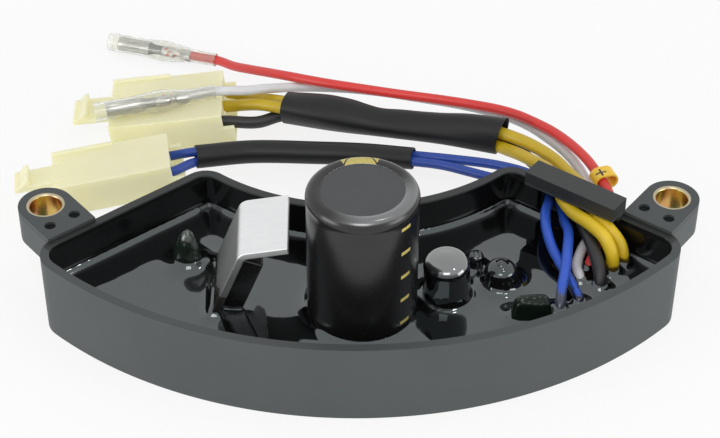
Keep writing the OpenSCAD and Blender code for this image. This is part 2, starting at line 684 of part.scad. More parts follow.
module potting() {
    color([0.03, 0.03, 0.035]) seated() difference() {
        hollow(floor_t, potting_h);
        board_blank(board_z, board_top);
        rod(main_at, main_d, board_top - eps, potting_h + eps);
        pins_shape();
        sink_shape();
        power_shape();
        power_legs_shape();
        small_shape();
        timing_shape();
        stand_shape();
        film_shape();
        drop_shape();
        diodes_shape();
        resistors_shape();
        for (at = [red_foot, white_foot]) rod(at, field_lead_d, board_top - eps, potting_h + eps);
        for (at = [front_yellow_foot, back_yellow_foot, black_foot])
            rod(at, power_lead_d, board_top - eps, potting_h + eps);
        for (at = [left_blue_foot, right_blue_foot]) rod(at, sense_lead_d, board_top - eps, potting_h + eps);
    }
}

module red_lead() { color([0.82, 0.16, 0.16]) seated() lead(red_way, field_lead_d); }
module white_lead() { color([0.86, 0.86, 0.86]) seated() lead(white_way, field_lead_d); }
module front_yellow_lead() { color([0.92, 0.78, 0.12]) seated() lead(front_yellow_way, power_lead_d); }
module back_yellow_lead() { color([0.92, 0.78, 0.12]) seated() lead(back_yellow_way, power_lead_d); }
module black_lead() { color([0.06, 0.06, 0.06]) seated() lead(black_way, power_lead_d); }
module left_blue_lead() { color([0.14, 0.26, 0.72]) seated() lead(left_blue_way, sense_lead_d); }
module right_blue_lead() { color([0.14, 0.26, 0.72]) seated() lead(right_blue_way, sense_lead_d); }
module yellow_lead_sleeve() {
    color([0.07, 0.07, 0.08]) seated() sleeve(yellow_sleeve_way, yellow_bore, sleeve_wall);
}
module blue_lead_sleeve() {
    color([0.07, 0.07, 0.08]) seated() sleeve(blue_sleeve_way, blue_bore, sleeve_wall);
}

// Oval tube that hangs on the red lead
module polarity_marker() {
    t = unit(red_way[marker_on + 1] - red_way[marker_on - 1]);
    shift = marker_w / 2 - marker_wall - field_lead_d / 2 - marker_slack;
    color([0.95, 0.68, 0.12]) seated()
        translate(red_way[marker_on]) rotate([0, acos(t[2]), atan2(t[1], t[0])])
            translate([0, -shift, -marker_l / 2]) linear_extrude(marker_l) difference() {
                oval(marker_w, marker_t);
                oval(marker_w - 2 * marker_wall, marker_t - 2 * marker_wall);
            }
}
module oval(w, t) {
    for (s = [-1, 1]) translate([0, s * (w - t) / 2]) circle(d = t);
    square([t, w - t], center = true);
}

// Plug body: an open hood with a key rib, a cell for each lead, a skirt under the leads
// and a latch arm with a tooth, freed by two slots at its root
module plug(ways) {
    w = ways * plug_pitch + plug_wall;
    arm = latch_w + latch_grow * (ways - 2);
    difference() {
        union() {
            translate([0, -w / 2, 0]) cube([plug_l, w, plug_h]);
            translate([plug_l - eps, -w / 2, 0]) cube([skirt_l + eps, w, skirt_h]);
            translate([0, w / 2 - plug_wall, plug_h - eps]) cube([rib_l, plug_wall, rib_h + eps]);
            translate([-latch_l, -arm / 2 - latch_shift, plug_h - latch_t]) cube([latch_l + eps, arm, latch_t]);
            translate([-latch_l, arm / 2 - latch_shift, plug_h]) rotate([90, 0, 0]) linear_extrude(arm)
                polygon([[0, -latch_t], [latch_l / 3, latch_tooth], [latch_l / 3 + latch_t / 2, latch_tooth],
                    [latch_l / 3 + latch_t / 2, -latch_t]]);
        }
        translate([-eps, plug_wall - w / 2, plug_wall])
            cube([hood_l + eps, w - 2 * plug_wall, plug_h - 2 * plug_wall]);
        for (i = [0 : ways - 1]) translate([hood_l - eps, cell_y(ways, i) - cell_w / 2, plug_wall])
            cube([plug_l - hood_l + 2 * eps, cell_w, cell_h]);
        translate([plug_l + least_round, plug_wall - w / 2, plug_wall])
            cube([skirt_l, w - 2 * plug_wall, skirt_h]);
        for (s = [-1, 1])
            translate([-eps, s * (arm + slot_w) / 2 - latch_shift - slot_w / 2, plug_h - plug_wall - eps])
                cube([slot_l + eps, slot_w, plug_wall + 2 * eps]);
    }
}
// Receptacles with rolled edges, each with a crimp that ends on the lead's end
module terminals(ways) {
    w = cell_w - 2 * cell_play;
    roll = 3 * terminal_t;
    crimp = lead_end_x - receptacle_x - terminal_l;
    for (i = [0 : ways - 1]) translate([receptacle_x, cell_y(ways, i), plug_h / 2]) {
        translate([0, -w / 2 + roll / 2, -terminal_t / 2]) cube([terminal_l, w - roll, terminal_t]);
        for (s = [-1, 1])
            translate([0, s * (w - roll) / 2, 0]) rotate([0, 90, 0]) cylinder(h = terminal_l, d = roll);
        translate([terminal_l, 0, 0]) rotate([0, 90, 0]) cylinder(h = crimp, d = 2 * roll);
    }
}
module at_two_way() { translate(two_way_at) rotate([0, -two_way_turn[0], two_way_turn[1]]) children(); }
module at_three_way() { translate(three_way_at) rotate([0, -three_way_turn[0], three_way_turn[1]]) children(); }
module two_way_plug() { color([0.93, 0.91, 0.78]) seated() at_two_way() plug(2); }
module two_way_terminals() { color("silver") seated() at_two_way() terminals(2); }
module three_way_plug() { color([0.93, 0.91, 0.78]) seated() at_three_way() plug(3); }
module three_way_terminals() { color("silver") seated() at_three_way() terminals(3); }

// Frame at the end of a lead: z runs on along the lead
module at_end_of(way) {
    n = len(way) - 1;
    t = unit(way[n] - way[n - 1]);
    translate(way[n]) rotate([0, acos(t[2]), atan2(t[1], t[0])]) children();
}
module socket_shape() {
    r = barrel_d / 2;
    rotate_extrude() polygon([
        [0, 0], [field_lead_d / 2, 0], [field_lead_d / 2, crimp_l], [r, crimp_l], [r, crimp_l + barrel_l],
        [r - barrel_wall, crimp_l + barrel_l], [r - barrel_wall, crimp_l + barrel_wall], [0, crimp_l + barrel_wall]]);
}
module cover_shape() {
    lead_r = field_lead_d / 2 + cover_play;
    barrel_r = barrel_d / 2 + cover_play;
    swell_r = barrel_r + cover_swell;
    tip = crimp_l + barrel_l + cover_reach;
    inside = [[lead_r, -cover_grip], [lead_r, 0], [swell_r, crimp_l * 0.6], [barrel_r, crimp_l + 1], [barrel_r, tip]];
    rotate_extrude() polygon(concat(inside, reversed([for (p = inside) p + [cover_wall, 0]])));
}
module red_socket() { color("silver") seated() at_end_of(red_way) socket_shape(); }
module white_socket() { color("silver") seated() at_end_of(white_way) socket_shape(); }
module red_socket_cover() { color([0.9, 0.92, 0.92, 0.5]) seated() at_end_of(red_way) cover_shape(); }
module white_socket_cover() { color([0.9, 0.92, 0.92, 0.5]) seated() at_end_of(white_way) cover_shape(); }

case();
left_bush();
right_bush();
circuit_board();
potting();
main_capacitor_can();
main_capacitor_sleeve();
main_capacitor_disc();
main_capacitor_pins();
heat_sink();
power_transistor();
transistor_legs();
small_capacitor();
timing_capacitor();
standing_diode();
left_film_capacitor();
right_film_capacitor();
rectifier_diodes();
resistors();
red_lead();
white_lead();
front_yellow_lead();
back_yellow_lead();
black_lead();
left_blue_lead();
right_blue_lead();
yellow_lead_sleeve();
blue_lead_sleeve();
polarity_marker();
two_way_plug();
two_way_terminals();
three_way_plug();
three_way_terminals();
red_socket();
red_socket_cover();
white_socket();
white_socket_cover();
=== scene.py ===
"""Looks of a potted generator voltage regulator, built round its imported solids.

Lengths in the classes are millimetres in the drawing's frame, whose origin lies midway
between the two bushes. Plan.place() turns them into metres in the part's own frame.
"""

import json
import logging
import math
from dataclasses import dataclass, field
from enum import Enum
from typing import Any, Optional, Sequence, Union

import bmesh
import bpy
import numpy as np
from mathutils import Matrix, Vector

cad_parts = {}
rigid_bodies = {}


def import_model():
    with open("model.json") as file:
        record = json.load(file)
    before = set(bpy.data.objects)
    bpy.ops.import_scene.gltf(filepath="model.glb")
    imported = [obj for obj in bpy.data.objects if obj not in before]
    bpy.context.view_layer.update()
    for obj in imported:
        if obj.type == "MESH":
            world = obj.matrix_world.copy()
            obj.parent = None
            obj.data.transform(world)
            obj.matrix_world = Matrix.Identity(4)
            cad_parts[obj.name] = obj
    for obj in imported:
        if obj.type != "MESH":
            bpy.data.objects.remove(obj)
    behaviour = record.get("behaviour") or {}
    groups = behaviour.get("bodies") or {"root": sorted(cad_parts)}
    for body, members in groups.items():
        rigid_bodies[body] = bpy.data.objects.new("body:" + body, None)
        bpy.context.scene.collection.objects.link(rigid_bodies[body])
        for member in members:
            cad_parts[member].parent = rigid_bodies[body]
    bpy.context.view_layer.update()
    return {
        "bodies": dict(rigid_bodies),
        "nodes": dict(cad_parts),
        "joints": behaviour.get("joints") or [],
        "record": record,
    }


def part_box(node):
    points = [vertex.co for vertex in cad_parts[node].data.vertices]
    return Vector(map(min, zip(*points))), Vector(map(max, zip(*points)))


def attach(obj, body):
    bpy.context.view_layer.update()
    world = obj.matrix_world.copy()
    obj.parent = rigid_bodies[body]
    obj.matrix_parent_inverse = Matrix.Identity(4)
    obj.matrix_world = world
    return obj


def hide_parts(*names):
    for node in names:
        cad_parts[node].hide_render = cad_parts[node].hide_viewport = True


LOG = logging.getLogger("regulator")
MM = 0.001
BODY = "root"
WELD_AT = 1e-6
UP = np.array([0.0, 0.0, 1.0])
TINY = 1e-9
DOT = (0.0, 0.0)
Number = Union[int, float]
Term = Union["Val", int, float]
Pair = tuple[float, float]
Point = tuple[float, float, float]
Colour = tuple[float, float, float]
Piece = bpy.types.Object
Material = bpy.types.Material
Node = bpy.types.Node
Socket = bpy.types.NodeSocket


class Op(Enum):
    """What a Math node does."""

    ADD = "ADD"
    SUBTRACT = "SUBTRACT"
    MULTIPLY = "MULTIPLY"
    POWER = "POWER"
    ABSOLUTE = "ABSOLUTE"
    MINIMUM = "MINIMUM"
    MAXIMUM = "MAXIMUM"
    FRACT = "FRACT"
    ARCTAN2 = "ARCTAN2"


class Val:
    """A shader socket that takes part in Python arithmetic."""

    def __init__(self, sheet: "Sheet", socket: Socket) -> None:
        """Wraps an output socket of a sheet's tree."""
        self.sheet = sheet
        self.socket = socket

    def maths(self, operation: Op, *others: Term, swap: bool = False) -> "Val":
        """Adds one Math node.

        Args:
            operation: the Math node's operation.
            others: the further operands.
            swap: puts this value second.

        Returns:
            The node's result.
        """
        operands = [self, *others]
        if swap:
            operands.reverse()
        node = self.sheet.add("Math", {"operation": operation.value}, dict(enumerate(operands)))
        return Val(self.sheet, node.outputs[0])

    def __add__(self, other: Term) -> "Val":
        """Sum."""
        return self.maths(Op.ADD, other)

    __radd__ = __add__

    def __mul__(self, other: Term) -> "Val":
        """Product."""
        return self.maths(Op.MULTIPLY, other)

    __rmul__ = __mul__

    def __sub__(self, other: Term) -> "Val":
        """Difference."""
        return self.maths(Op.SUBTRACT, other)

    def __rsub__(self, other: Number) -> "Val":
        """Difference from a number."""
        return self.maths(Op.SUBTRACT, other, swap=True)

    def __pow__(self, other: Number) -> "Val":
        """Power."""
        return self.maths(Op.POWER, other)

    def __abs__(self) -> "Val":
        """Size without sign."""
        return self.maths(Op.ABSOLUTE)

    def __and__(self, other: "Val") -> "Val":
        """Both masks together."""
        return self.maths(Op.MINIMUM, other)

    def __or__(self, other: "Val") -> "Val":
        """Either mask."""
        return self.maths(Op.MAXIMUM, other)

    def rise(self, low: Number, high: Number) -> "Val":
        """A mask that goes smoothly from 0 at low to 1 at high."""
        ends = {"Value": self, "From Min": low, "From Max": high}
        node = self.sheet.add("MapRange", {"interpolation_type": "SMOOTHSTEP"}, ends)
        return Val(self.sheet, node.outputs[0])

    def fall(self, low: Number, high: Number) -> "Val":
        """A mask that goes smoothly from 1 at low to 0 at high."""
        return 1 - self.rise(low, high)


class Sheet:
    """The node tree of a material or the world, with the part's place in millimetres at hand."""

    def __init__(self, owner: Union[Material, bpy.types.World]) -> None:
        """Empties the owner's tree."""
        owner.use_nodes = True
        self.owner = owner
        self.tree = owner.node_tree
        self.tree.nodes.clear()
        self.place: Optional[Socket] = None

    @classmethod
    def new(cls, name: str) -> "Sheet":
        """The sheet of a new material."""
        return cls(bpy.data.materials.new(name))

    def add(
        self,
        kind: str,
        settings: Optional[dict[str, Any]] = None,
        inputs: Optional[dict[Any, Any]] = None,
    ) -> Node:
        """Adds a node.

        Args:
            kind: the node's type without the ShaderNode prefix.
            settings: its properties, and stops for a colour ramp.
            inputs: values, Vals or sockets by input name or number.

        Returns:
            The new node.
        """
        node = self.tree.nodes.new("ShaderNode" + kind)
        for key, value in (settings or {}).items():
            if key == "stops":
                self._set_stops(node, value)
            else:
                setattr(node, key, value)
        for key, value in (inputs or {}).items():
            self.feed(node.inputs[key], value)
        return node

    @staticmethod
    def _set_stops(node: Node, stops: Sequence[tuple[float, Colour]]) -> None:
        """Gives a colour ramp its stops."""
        elements = node.color_ramp.elements
        while len(elements) < len(stops):
            elements.new(1.0)
        for element, (position, colour) in zip(elements, stops):
            element.position = position
            element.color = (*colour, 1.0)

    def feed(self, socket: Socket, value: Any) -> None:
        """Links or sets one input."""
        if isinstance(value, Val):
            self.tree.links.new(value.socket, socket)
        elif isinstance(value, Socket):
            self.tree.links.new(value, socket)
        elif isinstance(value, tuple) and len(value) == 3 and socket.type == "RGBA":
            socket.default_value = (*value, 1.0)
        else:
            socket.default_value = value

    def position(self) -> Socket:
        """The place on the part in millimetres, as a vector."""
        if self.place is None:
            source = self.add("TexCoord").outputs["Object"]
            self.place = self.vector("SCALE", {0: source, "Scale": 1 / MM}).outputs[0]
        return self.place

    def vector(self, operation: str, inputs: dict[Any, Any]) -> Node:
        """Adds a Vector Math node."""
        return self.add("VectorMath", {"operation": operation}, inputs)

    def axes(self) -> tuple[Val, Val, Val]:
        """The three coordinates in millimetres."""
        parts = self.add("SeparateXYZ", None, {0: self.position()})
        return Val(self, parts.outputs[0]), Val(self, parts.outputs[1]), Val(self, parts.outputs[2])

    def stretched(self, factors: Point) -> Socket:
        """The place with each axis multiplied."""
        return self.vector("MULTIPLY", {0: self.position(), 1: factors}).outputs[0]

    def reach(self, origin: Point, way: Point) -> Val:
        """How far a place lies from an origin along a direction, in millimetres."""
        off = self.vector("SUBTRACT", {0: self.position(), 1: origin}).outputs[0]
        return Val(self, self.vector("DOT_PRODUCT", {0: off, 1: way}).outputs["Value"])

    def noise(self, per_mm: float, detail: float = 3.0, vector: Optional[Socket] = None) -> Val:
        """Noise of so many cells a millimetre, from 0 to 1."""
        inputs = {"Vector": vector or self.position(), "Scale": per_mm, "Detail": detail}
        return Val(self, self.add("TexNoise", None, inputs).outputs[0])

    def ramp(self, value: Val, stops: Sequence[tuple[float, Colour]]) -> Socket:
        """A colour ramp's colour."""
        return self.add("ValToRGB", {"stops": stops}, {0: value}).outputs[0]

    def mix(self, factor: Term, first: Any, second: Any) -> Socket:
        """The first colour gone over to the second by a factor."""
        return self.add("Mix", {"data_type": "RGBA"}, {0: factor, 6: first, 7: second}).outputs[2]

    def bump(self, height: Val, depth: float, strength: float = 1.0) -> Socket:
        """A normal bent by a height, whose full range is depth millimetres."""
        node = self.add("Bump", None, {"Height": height, "Distance": depth * MM, "Strength": strength})
        return node.outputs[0]

    def principled(self, **inputs: Any) -> Node:
        """A Principled shader with its inputs given with underscores for spaces."""
        named = {key.replace("_", " "): value for key, value in inputs.items()}
        return self.add("BsdfPrincipled", None, named)

    def close(self, shader: Node) -> Material:
        """Ends the tree with a shader."""
        self.add("OutputMaterial", None, {"Surface": shader.outputs[0]})
        return self.owner

    def finish(self, **inputs: Any) -> Material:
        """Ends the tree with a Principled shader."""
        return self.close(self.principled(**inputs))


def toned(colour: Colour, factor: float) -> Colour:
    """A colour made paler or darker, with no channel past one."""
    return tuple(min(1.0, c * factor) for c in colour)


@dataclass(frozen=True)
class Plan:
    """Sizes of the tray's plan that more than one piece needs."""

    mid_y: float
    front_r: float = 90.0
    back_r: float = 45.2
    arc_y: float = 45.6
    end_turn: float = 38.0
    end_fillet: float = 6.0
    back_fillet: float = 5.0
    half_span: float = 65.0
    ear_reach: float = 9.3
    wall: float = 1.8
    ledge: float = 0.8
    rim_h: float = 18.0
    ear_top: float = 19.0
    potting_h: float = 9.8
    board_top: float = 5.8

    @property
    def outward(self) -> np.ndarray:
        """Direction out of the right slanted wall."""
        turn = math.radians(self.end_turn)
        return np.array([math.sin(turn), math.cos(turn)])

    @property
    def end_off(self) -> float:
        """Distance of the slanted walls' outer faces from the origin."""
        return self.half_span * self.outward[0] - self.ear_reach

    def place(self, point: Sequence[float]) -> Point:
        """A point in metres in the part's frame."""
        return (point[0] * MM, (point[1] + self.mid_y) * MM, point[2] * MM)

    def behind_front(self, x: float, depth: float) -> Pair:
        """A place in the plan at x, so far behind the front wall's outer face."""
        return (x, self.arc_y - math.sqrt((self.front_r - depth) ** 2 - x * x))

    def corner(self, radius: float, reach: float) -> np.ndarray:
        """Centre of a corner circle that touches the slanted wall, at a reach from the arcs' centre."""
        centre = np.array([0.0, self.arc_y])
        along = np.array([self.outward[1], -self.outward[0]])
        off = self.end_off - radius - centre @ self.outward
        return centre + off * self.outward + math.sqrt(reach * reach - off * off) * along

    @property
    def front_corner(self) -> np.ndarray:
        """Centre of the right front corner's rounding."""
        return self.corner(self.end_fillet, self.front_r - self.end_fillet)

    @property
    def back_corner(self) -> np.ndarray:
        """Centre of the right back corner's rounding."""
        return self.corner(self.back_fillet, self.back_r + self.back_fillet)

    def outline(self, inset: float) -> np.ndarray:
        """The crescent set in from its outer face, as a closed ring of points."""
        centre = np.array([0.0, self.arc_y])
        end, back = self.front_corner, self.back_corner
        to_end = math.atan2(*(end - centre)[::-1])
        to_back = math.atan2(*(back - centre)[::-1])
        wall_way = math.radians(90 - self.end_turn)
        half = np.concatenate(
            [
                ring_arc(centre, self.front_r - inset, -math.pi / 2, to_end, 48),
                ring_arc(end, self.end_fillet - inset, to_end, wall_way, 10),
                ring_arc(back, self.back_fillet - inset, wall_way, to_back + math.pi, 10),
                ring_arc(centre, self.back_r + inset, to_back, -math.pi / 2, 40),
            ]
        )
        return np.concatenate([half, half[-2:0:-1] * np.array([-1.0, 1.0])])


def ring_arc(centre: np.ndarray, radius: float, start: float, stop: float, steps: int) -> np.ndarray:
    """Points on an arc in the plan, both ends included."""
    turns = np.linspace(start, stop, steps + 1)
    return centre + radius * np.column_stack([np.cos(turns), np.sin(turns)])


def fillet(centre: Pair, radius: float, start: float, stop: float, steps: int) -> list[Pair]:
    """Points of a profile's rounding, with angles in degrees."""
    turns = [math.radians(start + (stop - start) * i / steps) for i in range(steps + 1)]
    return [(centre[0] + radius * math.cos(t), centre[1] + radius * math.sin(t)) for t in turns]


def full_turn(count: int) -> np.ndarray:
    """Angles of equal steps once round, in radians."""
    return np.linspace(0, 2 * math.pi, count, endpoint=False)


def unit(vector: np.ndarray) -> np.ndarray:
    """A vector of length one."""
    return vector / np.linalg.norm(vector)


def section(centre: np.ndarray, side: np.ndarray, above: np.ndarray, radius: np.ndarray) -> np.ndarray:
    """A ring of points about a centre, in the plane of two directions."""
    turns = full_turn(len(radius))[:, None]
    return centre + radius[:, None] * (np.cos(turns) * side + np.sin(turns) * above)


def end_axes(way: np.ndarray) -> tuple[np.ndarray, np.ndarray, np.ndarray]:
    """The directions ahead, sideways and upwards at the far end of a route."""
    ahead = unit(way[-1] - way[-2])
    side = unit(np.cross(ahead, UP))
    return ahead, side, np.cross(side, ahead)


def flowing(points: np.ndarray, spacing: float) -> np.ndarray:
    """A smooth line through points, with new points about so far apart."""
    padded = np.vstack([2 * points[0] - points[1], points, 2 * points[-1] - points[-2]])
    line = [points[0]]
    for p0, p1, p2, p3 in zip(padded, padded[1:], padded[2:], padded[3:]):
        legs = ((p0, p1), (p1, p2), (p2, p3))
        knots = np.cumsum([0.0] + [math.sqrt(np.linalg.norm(b - a)) for a, b in legs])
        steps = max(2, int(round(np.linalg.norm(p2 - p1) / spacing)))
        for t in np.linspace(knots[1], knots[2], steps + 1)[1:]:
            a1 = p0 + (p1 - p0) * (t - knots[0]) / (knots[1] - knots[0])
            a2 = p1 + (p2 - p1) * (t - knots[1]) / (knots[2] - knots[1])
            a3 = p2 + (p3 - p2) * (t - knots[2]) / (knots[3] - knots[2])
            b1 = a1 + (a2 - a1) * (t - knots[0]) / (knots[2] - knots[0])
            b2 = a2 + (a3 - a2) * (t - knots[1]) / (knots[3] - knots[1])
            line.append(b1 + (b2 - b1) * (t - knots[1]) / (knots[2] - knots[1]))
    return np.array(line)


def tangents(line: np.ndarray) -> np.ndarray:
    """Directions along a line at its points."""
    steps = np.gradient(line, axis=0)
    return steps / np.linalg.norm(steps, axis=1)[:, None]


def framed(side: Any, above: Any, ahead: Any, foot: Any) -> Matrix:
    """The frame of three directions and an origin."""
    return Matrix([*zip(side, above, ahead, foot), (0.0, 0.0, 0.0, 1.0)])


def linked(name: str, data: Any) -> Piece:
    """A new object in the scene."""
    piece = bpy.data.objects.new(name, data)
    bpy.context.scene.collection.objects.link(piece)
    return piece


class Workshop:
    """Makes and dresses the pieces of the part."""

    def __init__(self, frame: dict[str, Any], plan: Plan) -> None:
        """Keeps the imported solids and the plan."""
        self.nodes: dict[str, Piece] = frame["nodes"]
        self.plan = plan

    @staticmethod
    def clothe(piece: Piece, *materials: Material) -> None:
        """Gives a piece these materials alone."""
        piece.data.materials.clear()
        for material in materials:
            piece.data.materials.append(material)

    @staticmethod
    def weld(solid: Piece) -> None:
        """Joins a solid's doubled points."""
        solid.modifiers.new("weld", "WELD").merge_threshold = WELD_AT

    def register(self, piece: Piece, material: Material, slot: str, *replaced: str) -> Piece:
        """Puts a new piece on the part.

        Args:
            piece: the object, already linked.
            material: its material.
            slot: the record's material slot; not used.
            replaced: the solids that it stands for.

        Returns:
            The piece.
        """
        self.clothe(piece, material)
        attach(piece, BODY)
        if replaced:
            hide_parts(*replaced)
        LOG.info("made %s", piece.name)
        return piece

    def mesh(
        self, name: str, points: np.ndarray, faces: Sequence[Sequence[int]], sharp: float = 40.0
    ) -> Piece:
        """A smooth mesh object from points in the drawing's frame.

        Args:
            name: the object's name.
            points: its points in millimetres.
            faces: its faces as point numbers.
            sharp: the angle in degrees above which an edge stays sharp.

        Returns:
            The linked object.
        """
        data = bpy.data.meshes.new(name)
        placed = (np.asarray(points, float) + np.array([0.0, self.plan.mid_y, 0.0])) * MM
        data.from_pydata(placed.tolist(), [], [list(f) for f in faces])
        mend = bmesh.new()
        mend.from_mesh(data)
        bmesh.ops.recalc_face_normals(mend, faces=mend.faces)
        mend.to_mesh(data)
        mend.free()
        data.shade_smooth()
        data.set_sharp_from_angle(angle=math.radians(sharp))
        return linked(name, data)

    def skin(
        self, name: str, rings: Sequence[np.ndarray], looped: bool = False, sharp: float = 40.0
    ) -> Piece:
        """A skin over rings of equally many points, with closed ends unless it is looped."""
        count, size = len(rings), len(rings[0])
        faces: list[list[int]] = []
        for i in range(count if looped else count - 1):
            low, high = i * size, (i + 1) % count * size
            for k in range(size):
                after = (k + 1) % size
                faces.append([low + k, low + after, high + after, high + k])
        if not looped:
            faces.append(list(range(size))[::-1])
            faces.append([(count - 1) * size + k for k in range(size)])
        return self.mesh(name, np.concatenate(rings), faces, sharp)

    def lathe(
        self, name: str, profile: Sequence[Pair], base: Matrix, sides: int, looped: bool = False
    ) -> Piece:
        """A turned piece.

        Args:
            name: the object's name.
            profile: (radius, height) pairs, none of them on the axis.
            base: where the axis stands, in millimetres.
            sides: the number of sides.
            looped: whether the profile is a closed section.

        Returns:
            The linked object.
        """
        side, above, ahead, foot = np.array(base)[:3].T
        rings = [section(foot + ahead * height, side, above, np.full(sides, r)) for r, height in profile]
        return self.skin(name, rings, looped)

    def dress(self, name: str, material: Material, edge: float = 0.0, segments: int = 2) -> Piece:
        """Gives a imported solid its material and, if asked, softened edges.

        Args:
            name: the solid's name.
            material: its material.
            edge: the width of the softened edges in millimetres.
            segments: the faces across such an edge.

        Returns:
            The solid's object.
        """
        solid = self.nodes[name]
        self.clothe(solid, material)
        solid.data.shade_smooth()
        self.weld(solid)
        if edge:
            self.soften(solid, edge, segments)
        normals = solid.modifiers.new("normals", "WEIGHTED_NORMAL")
        normals.mode = "FACE_AREA"
        normals.weight = 50
        LOG.info("dressed %s", name)
        return solid

    @staticmethod
    def soften(solid: Piece, edge: float, segments: int) -> bpy.types.Modifier:
        """Joins a solid's flat faces and rounds its edges by so many millimetres."""
        plain = solid.modifiers.new("plain_faces", "DECIMATE")
        plain.decimate_type = "DISSOLVE"
        plain.angle_limit = math.radians(0.15)
        soft = solid.modifiers.new("soft_edges", "BEVEL")
        soft.width = edge * MM
        soft.segments = segments
        soft.limit_method = "ANGLE"
        soft.angle_limit = math.radians(24)
        soft.miter_outer = "MITER_ARC"
        return soft

    def crisp(
        self, node: str, name: str, material: Material, slot: str, edge: float, segments: int = 3
    ) -> Piece:
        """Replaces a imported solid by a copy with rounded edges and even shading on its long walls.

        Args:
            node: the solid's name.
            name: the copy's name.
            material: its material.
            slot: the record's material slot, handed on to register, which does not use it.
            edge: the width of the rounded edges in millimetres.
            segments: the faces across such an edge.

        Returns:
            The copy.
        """
        solid = self.nodes[node]
        self.clothe(solid, material, material)
        self.weld(solid)
        self.soften(solid, edge, segments).material = 1
        bpy.context.view_layer.update()
        shown = solid.evaluated_get(bpy.context.evaluated_depsgraph_get())
        data = bpy.data.meshes.new_from_object(shown)
        solid.modifiers.clear()
        data.shade_smooth()
        data.normals_split_custom_set(self.even_normals(data))
        data.polygons.foreach_set("material_index", [0] * len(data.polygons))
        return self.register(linked(name, data), material, slot, node)

    @staticmethod
    def even_normals(data: bpy.types.Mesh, kin: float = 25.0, led: float = 0.55) -> list[Vector]:
        """Corner normals that come from the broad faces, between which the rounded edges bend.

        Args:
            data: a mesh whose rounded edges have material number 1.
            kin: the angle in degrees up to which broad faces shade as one surface.
            led: how far a rounded face may turn from a broad one and still shade with it, as a cosine.

        Returns:
            One normal for each corner of the mesh.
        """
        near = math.cos(math.radians(kin))
        normals: list[Vector] = []
        mesh = bmesh.new()
        mesh.from_mesh(data)
        for face in mesh.faces:
            for corner in face.loops:
                around = list(corner.vert.link_loops)
                broad = [c for c in around if c.face.material_index == 0]
                lead = face
                if face.material_index and broad:
                    lead = max((c.face for c in broad), key=lambda f: f.normal.dot(face.normal))
                if face.material_index and (lead is face or lead.normal.dot(face.normal) < led):
                    bent = [c for c in around if c.face.material_index]
                    chosen = [c for c in bent if c.face.normal.dot(face.normal) > 0.5]
                else:
                    chosen = [c for c in broad if c.face.normal.dot(lead.normal) > near]
                total = sum((c.face.normal * c.calc_angle() for c in chosen), Vector())
                normals.append(total.normalized() if total.length else face.normal.copy())
        mesh.free()
        return normals


@dataclass(frozen=True)
class CaseFinish:
    """Moulded charcoal plastic, wet with resin on the inside, with painted shade on its rims, bridge bar and
    ear tops.
    """

    plan: Plan
    outer: Colour = (0.057, 0.066, 0.067)
    inner: Colour = (0.0045, 0.0047, 0.005)
    rubbed_tone: Colour = (0.09, 0.095, 0.1)
    # Colour of the painted shade on the rims, the bridge bar and the ear tops
    painted_shade_tone: Colour = (0.010, 0.0105, 0.011)
    edge_in: float = 0.9
    lap: float = 0.05

    def make(self) -> Material:
        """Builds the material."""
        sheet = Sheet.new("case_charcoal")
        plan = self.plan
        x, y, z = sheet.axes()
        drawn_y = y - plan.mid_y
        from_arc = (x * x + (drawn_y - plan.arc_y) ** 2) ** 0.5
        across = abs(x) * float(plan.outward[0]) + drawn_y * float(plan.outward[1])
        lap, front_in, back_in = self.lap, plan.front_r - self.edge_in, plan.back_r + self.edge_in
        inside = (
            from_arc.fall(front_in - lap, front_in)
            & from_arc.rise(back_in, back_in + lap)
            & across.fall(plan.end_off - self.edge_in - lap, plan.end_off - self.edge_in)
            & z.fall(plan.rim_h - 0.5, plan.rim_h - 0.2)
        )
        front_from, back_to = plan.front_r - plan.end_fillet, plan.back_r + plan.back_fillet
        ends = (
            (plan.front_corner, plan.end_fillet, from_arc.rise(front_from, front_from + lap)),
            (plan.back_corner, plan.back_fillet, from_arc.fall(back_to - lap, back_to)),
        )
        for centre, radius, beyond in ends:
            away = ((abs(x) - float(centre[0])) ** 2 + (drawn_y - float(centre[1])) ** 2) ** 0.5
            outside = away.rise(radius - self.edge_in, radius - self.edge_in + lap)
            by_end = across.rise(plan.end_off - radius, plan.end_off - radius + lap)
            inside = inside & (1 - (outside & beyond & by_end))
        grain = sheet.noise(4.0, 2.0)
        cloud = sheet.noise(0.08, 4.0)
        rubbed = sheet.noise(0.6, 5.0).rise(0.62, 0.8)
        tone = sheet.mix(cloud, toned(self.outer, 0.86), toned(self.outer, 1.14))
        tone = sheet.mix(rubbed * 0.25, tone, self.rubbed_tone)
        # Painted shade: the rims of the back and end walls and the bridge bar are darkened against the
        # outside, and the front rim and the ear tops a little
        rim = z.rise(plan.rim_h - 0.15, plan.rim_h - 0.05) & z.fall(plan.rim_h + 0.25, plan.rim_h + 0.4)
        back_rim = rim & from_arc.fall(plan.front_r - 3.6, plan.front_r - 3.0)
        bar = z.rise(plan.ear_top + 0.3, plan.ear_top + 0.5)
        ear = z.rise(plan.ear_top - 0.15, plan.ear_top - 0.05)
        painted_shade = back_rim * 0.85 | bar * 0.65 | ear * 0.25 | rim * 0.25
        tone = sheet.mix(painted_shade, tone, self.painted_shade_tone)
        colour = sheet.mix(inside, tone, self.inner)
        rough_out = 0.44 + 0.14 * grain + 0.06 * cloud
        rough = rough_out * (1 - inside) + (0.12 + 0.1 * cloud) * inside
        height = grain * (1 - inside) + sheet.noise(0.5, 2.0) * inside
        return sheet.finish(
            Base_Color=colour, Roughness=rough, IOR=1.5, Normal=sheet.bump(height, 0.02, 0.35)
        )


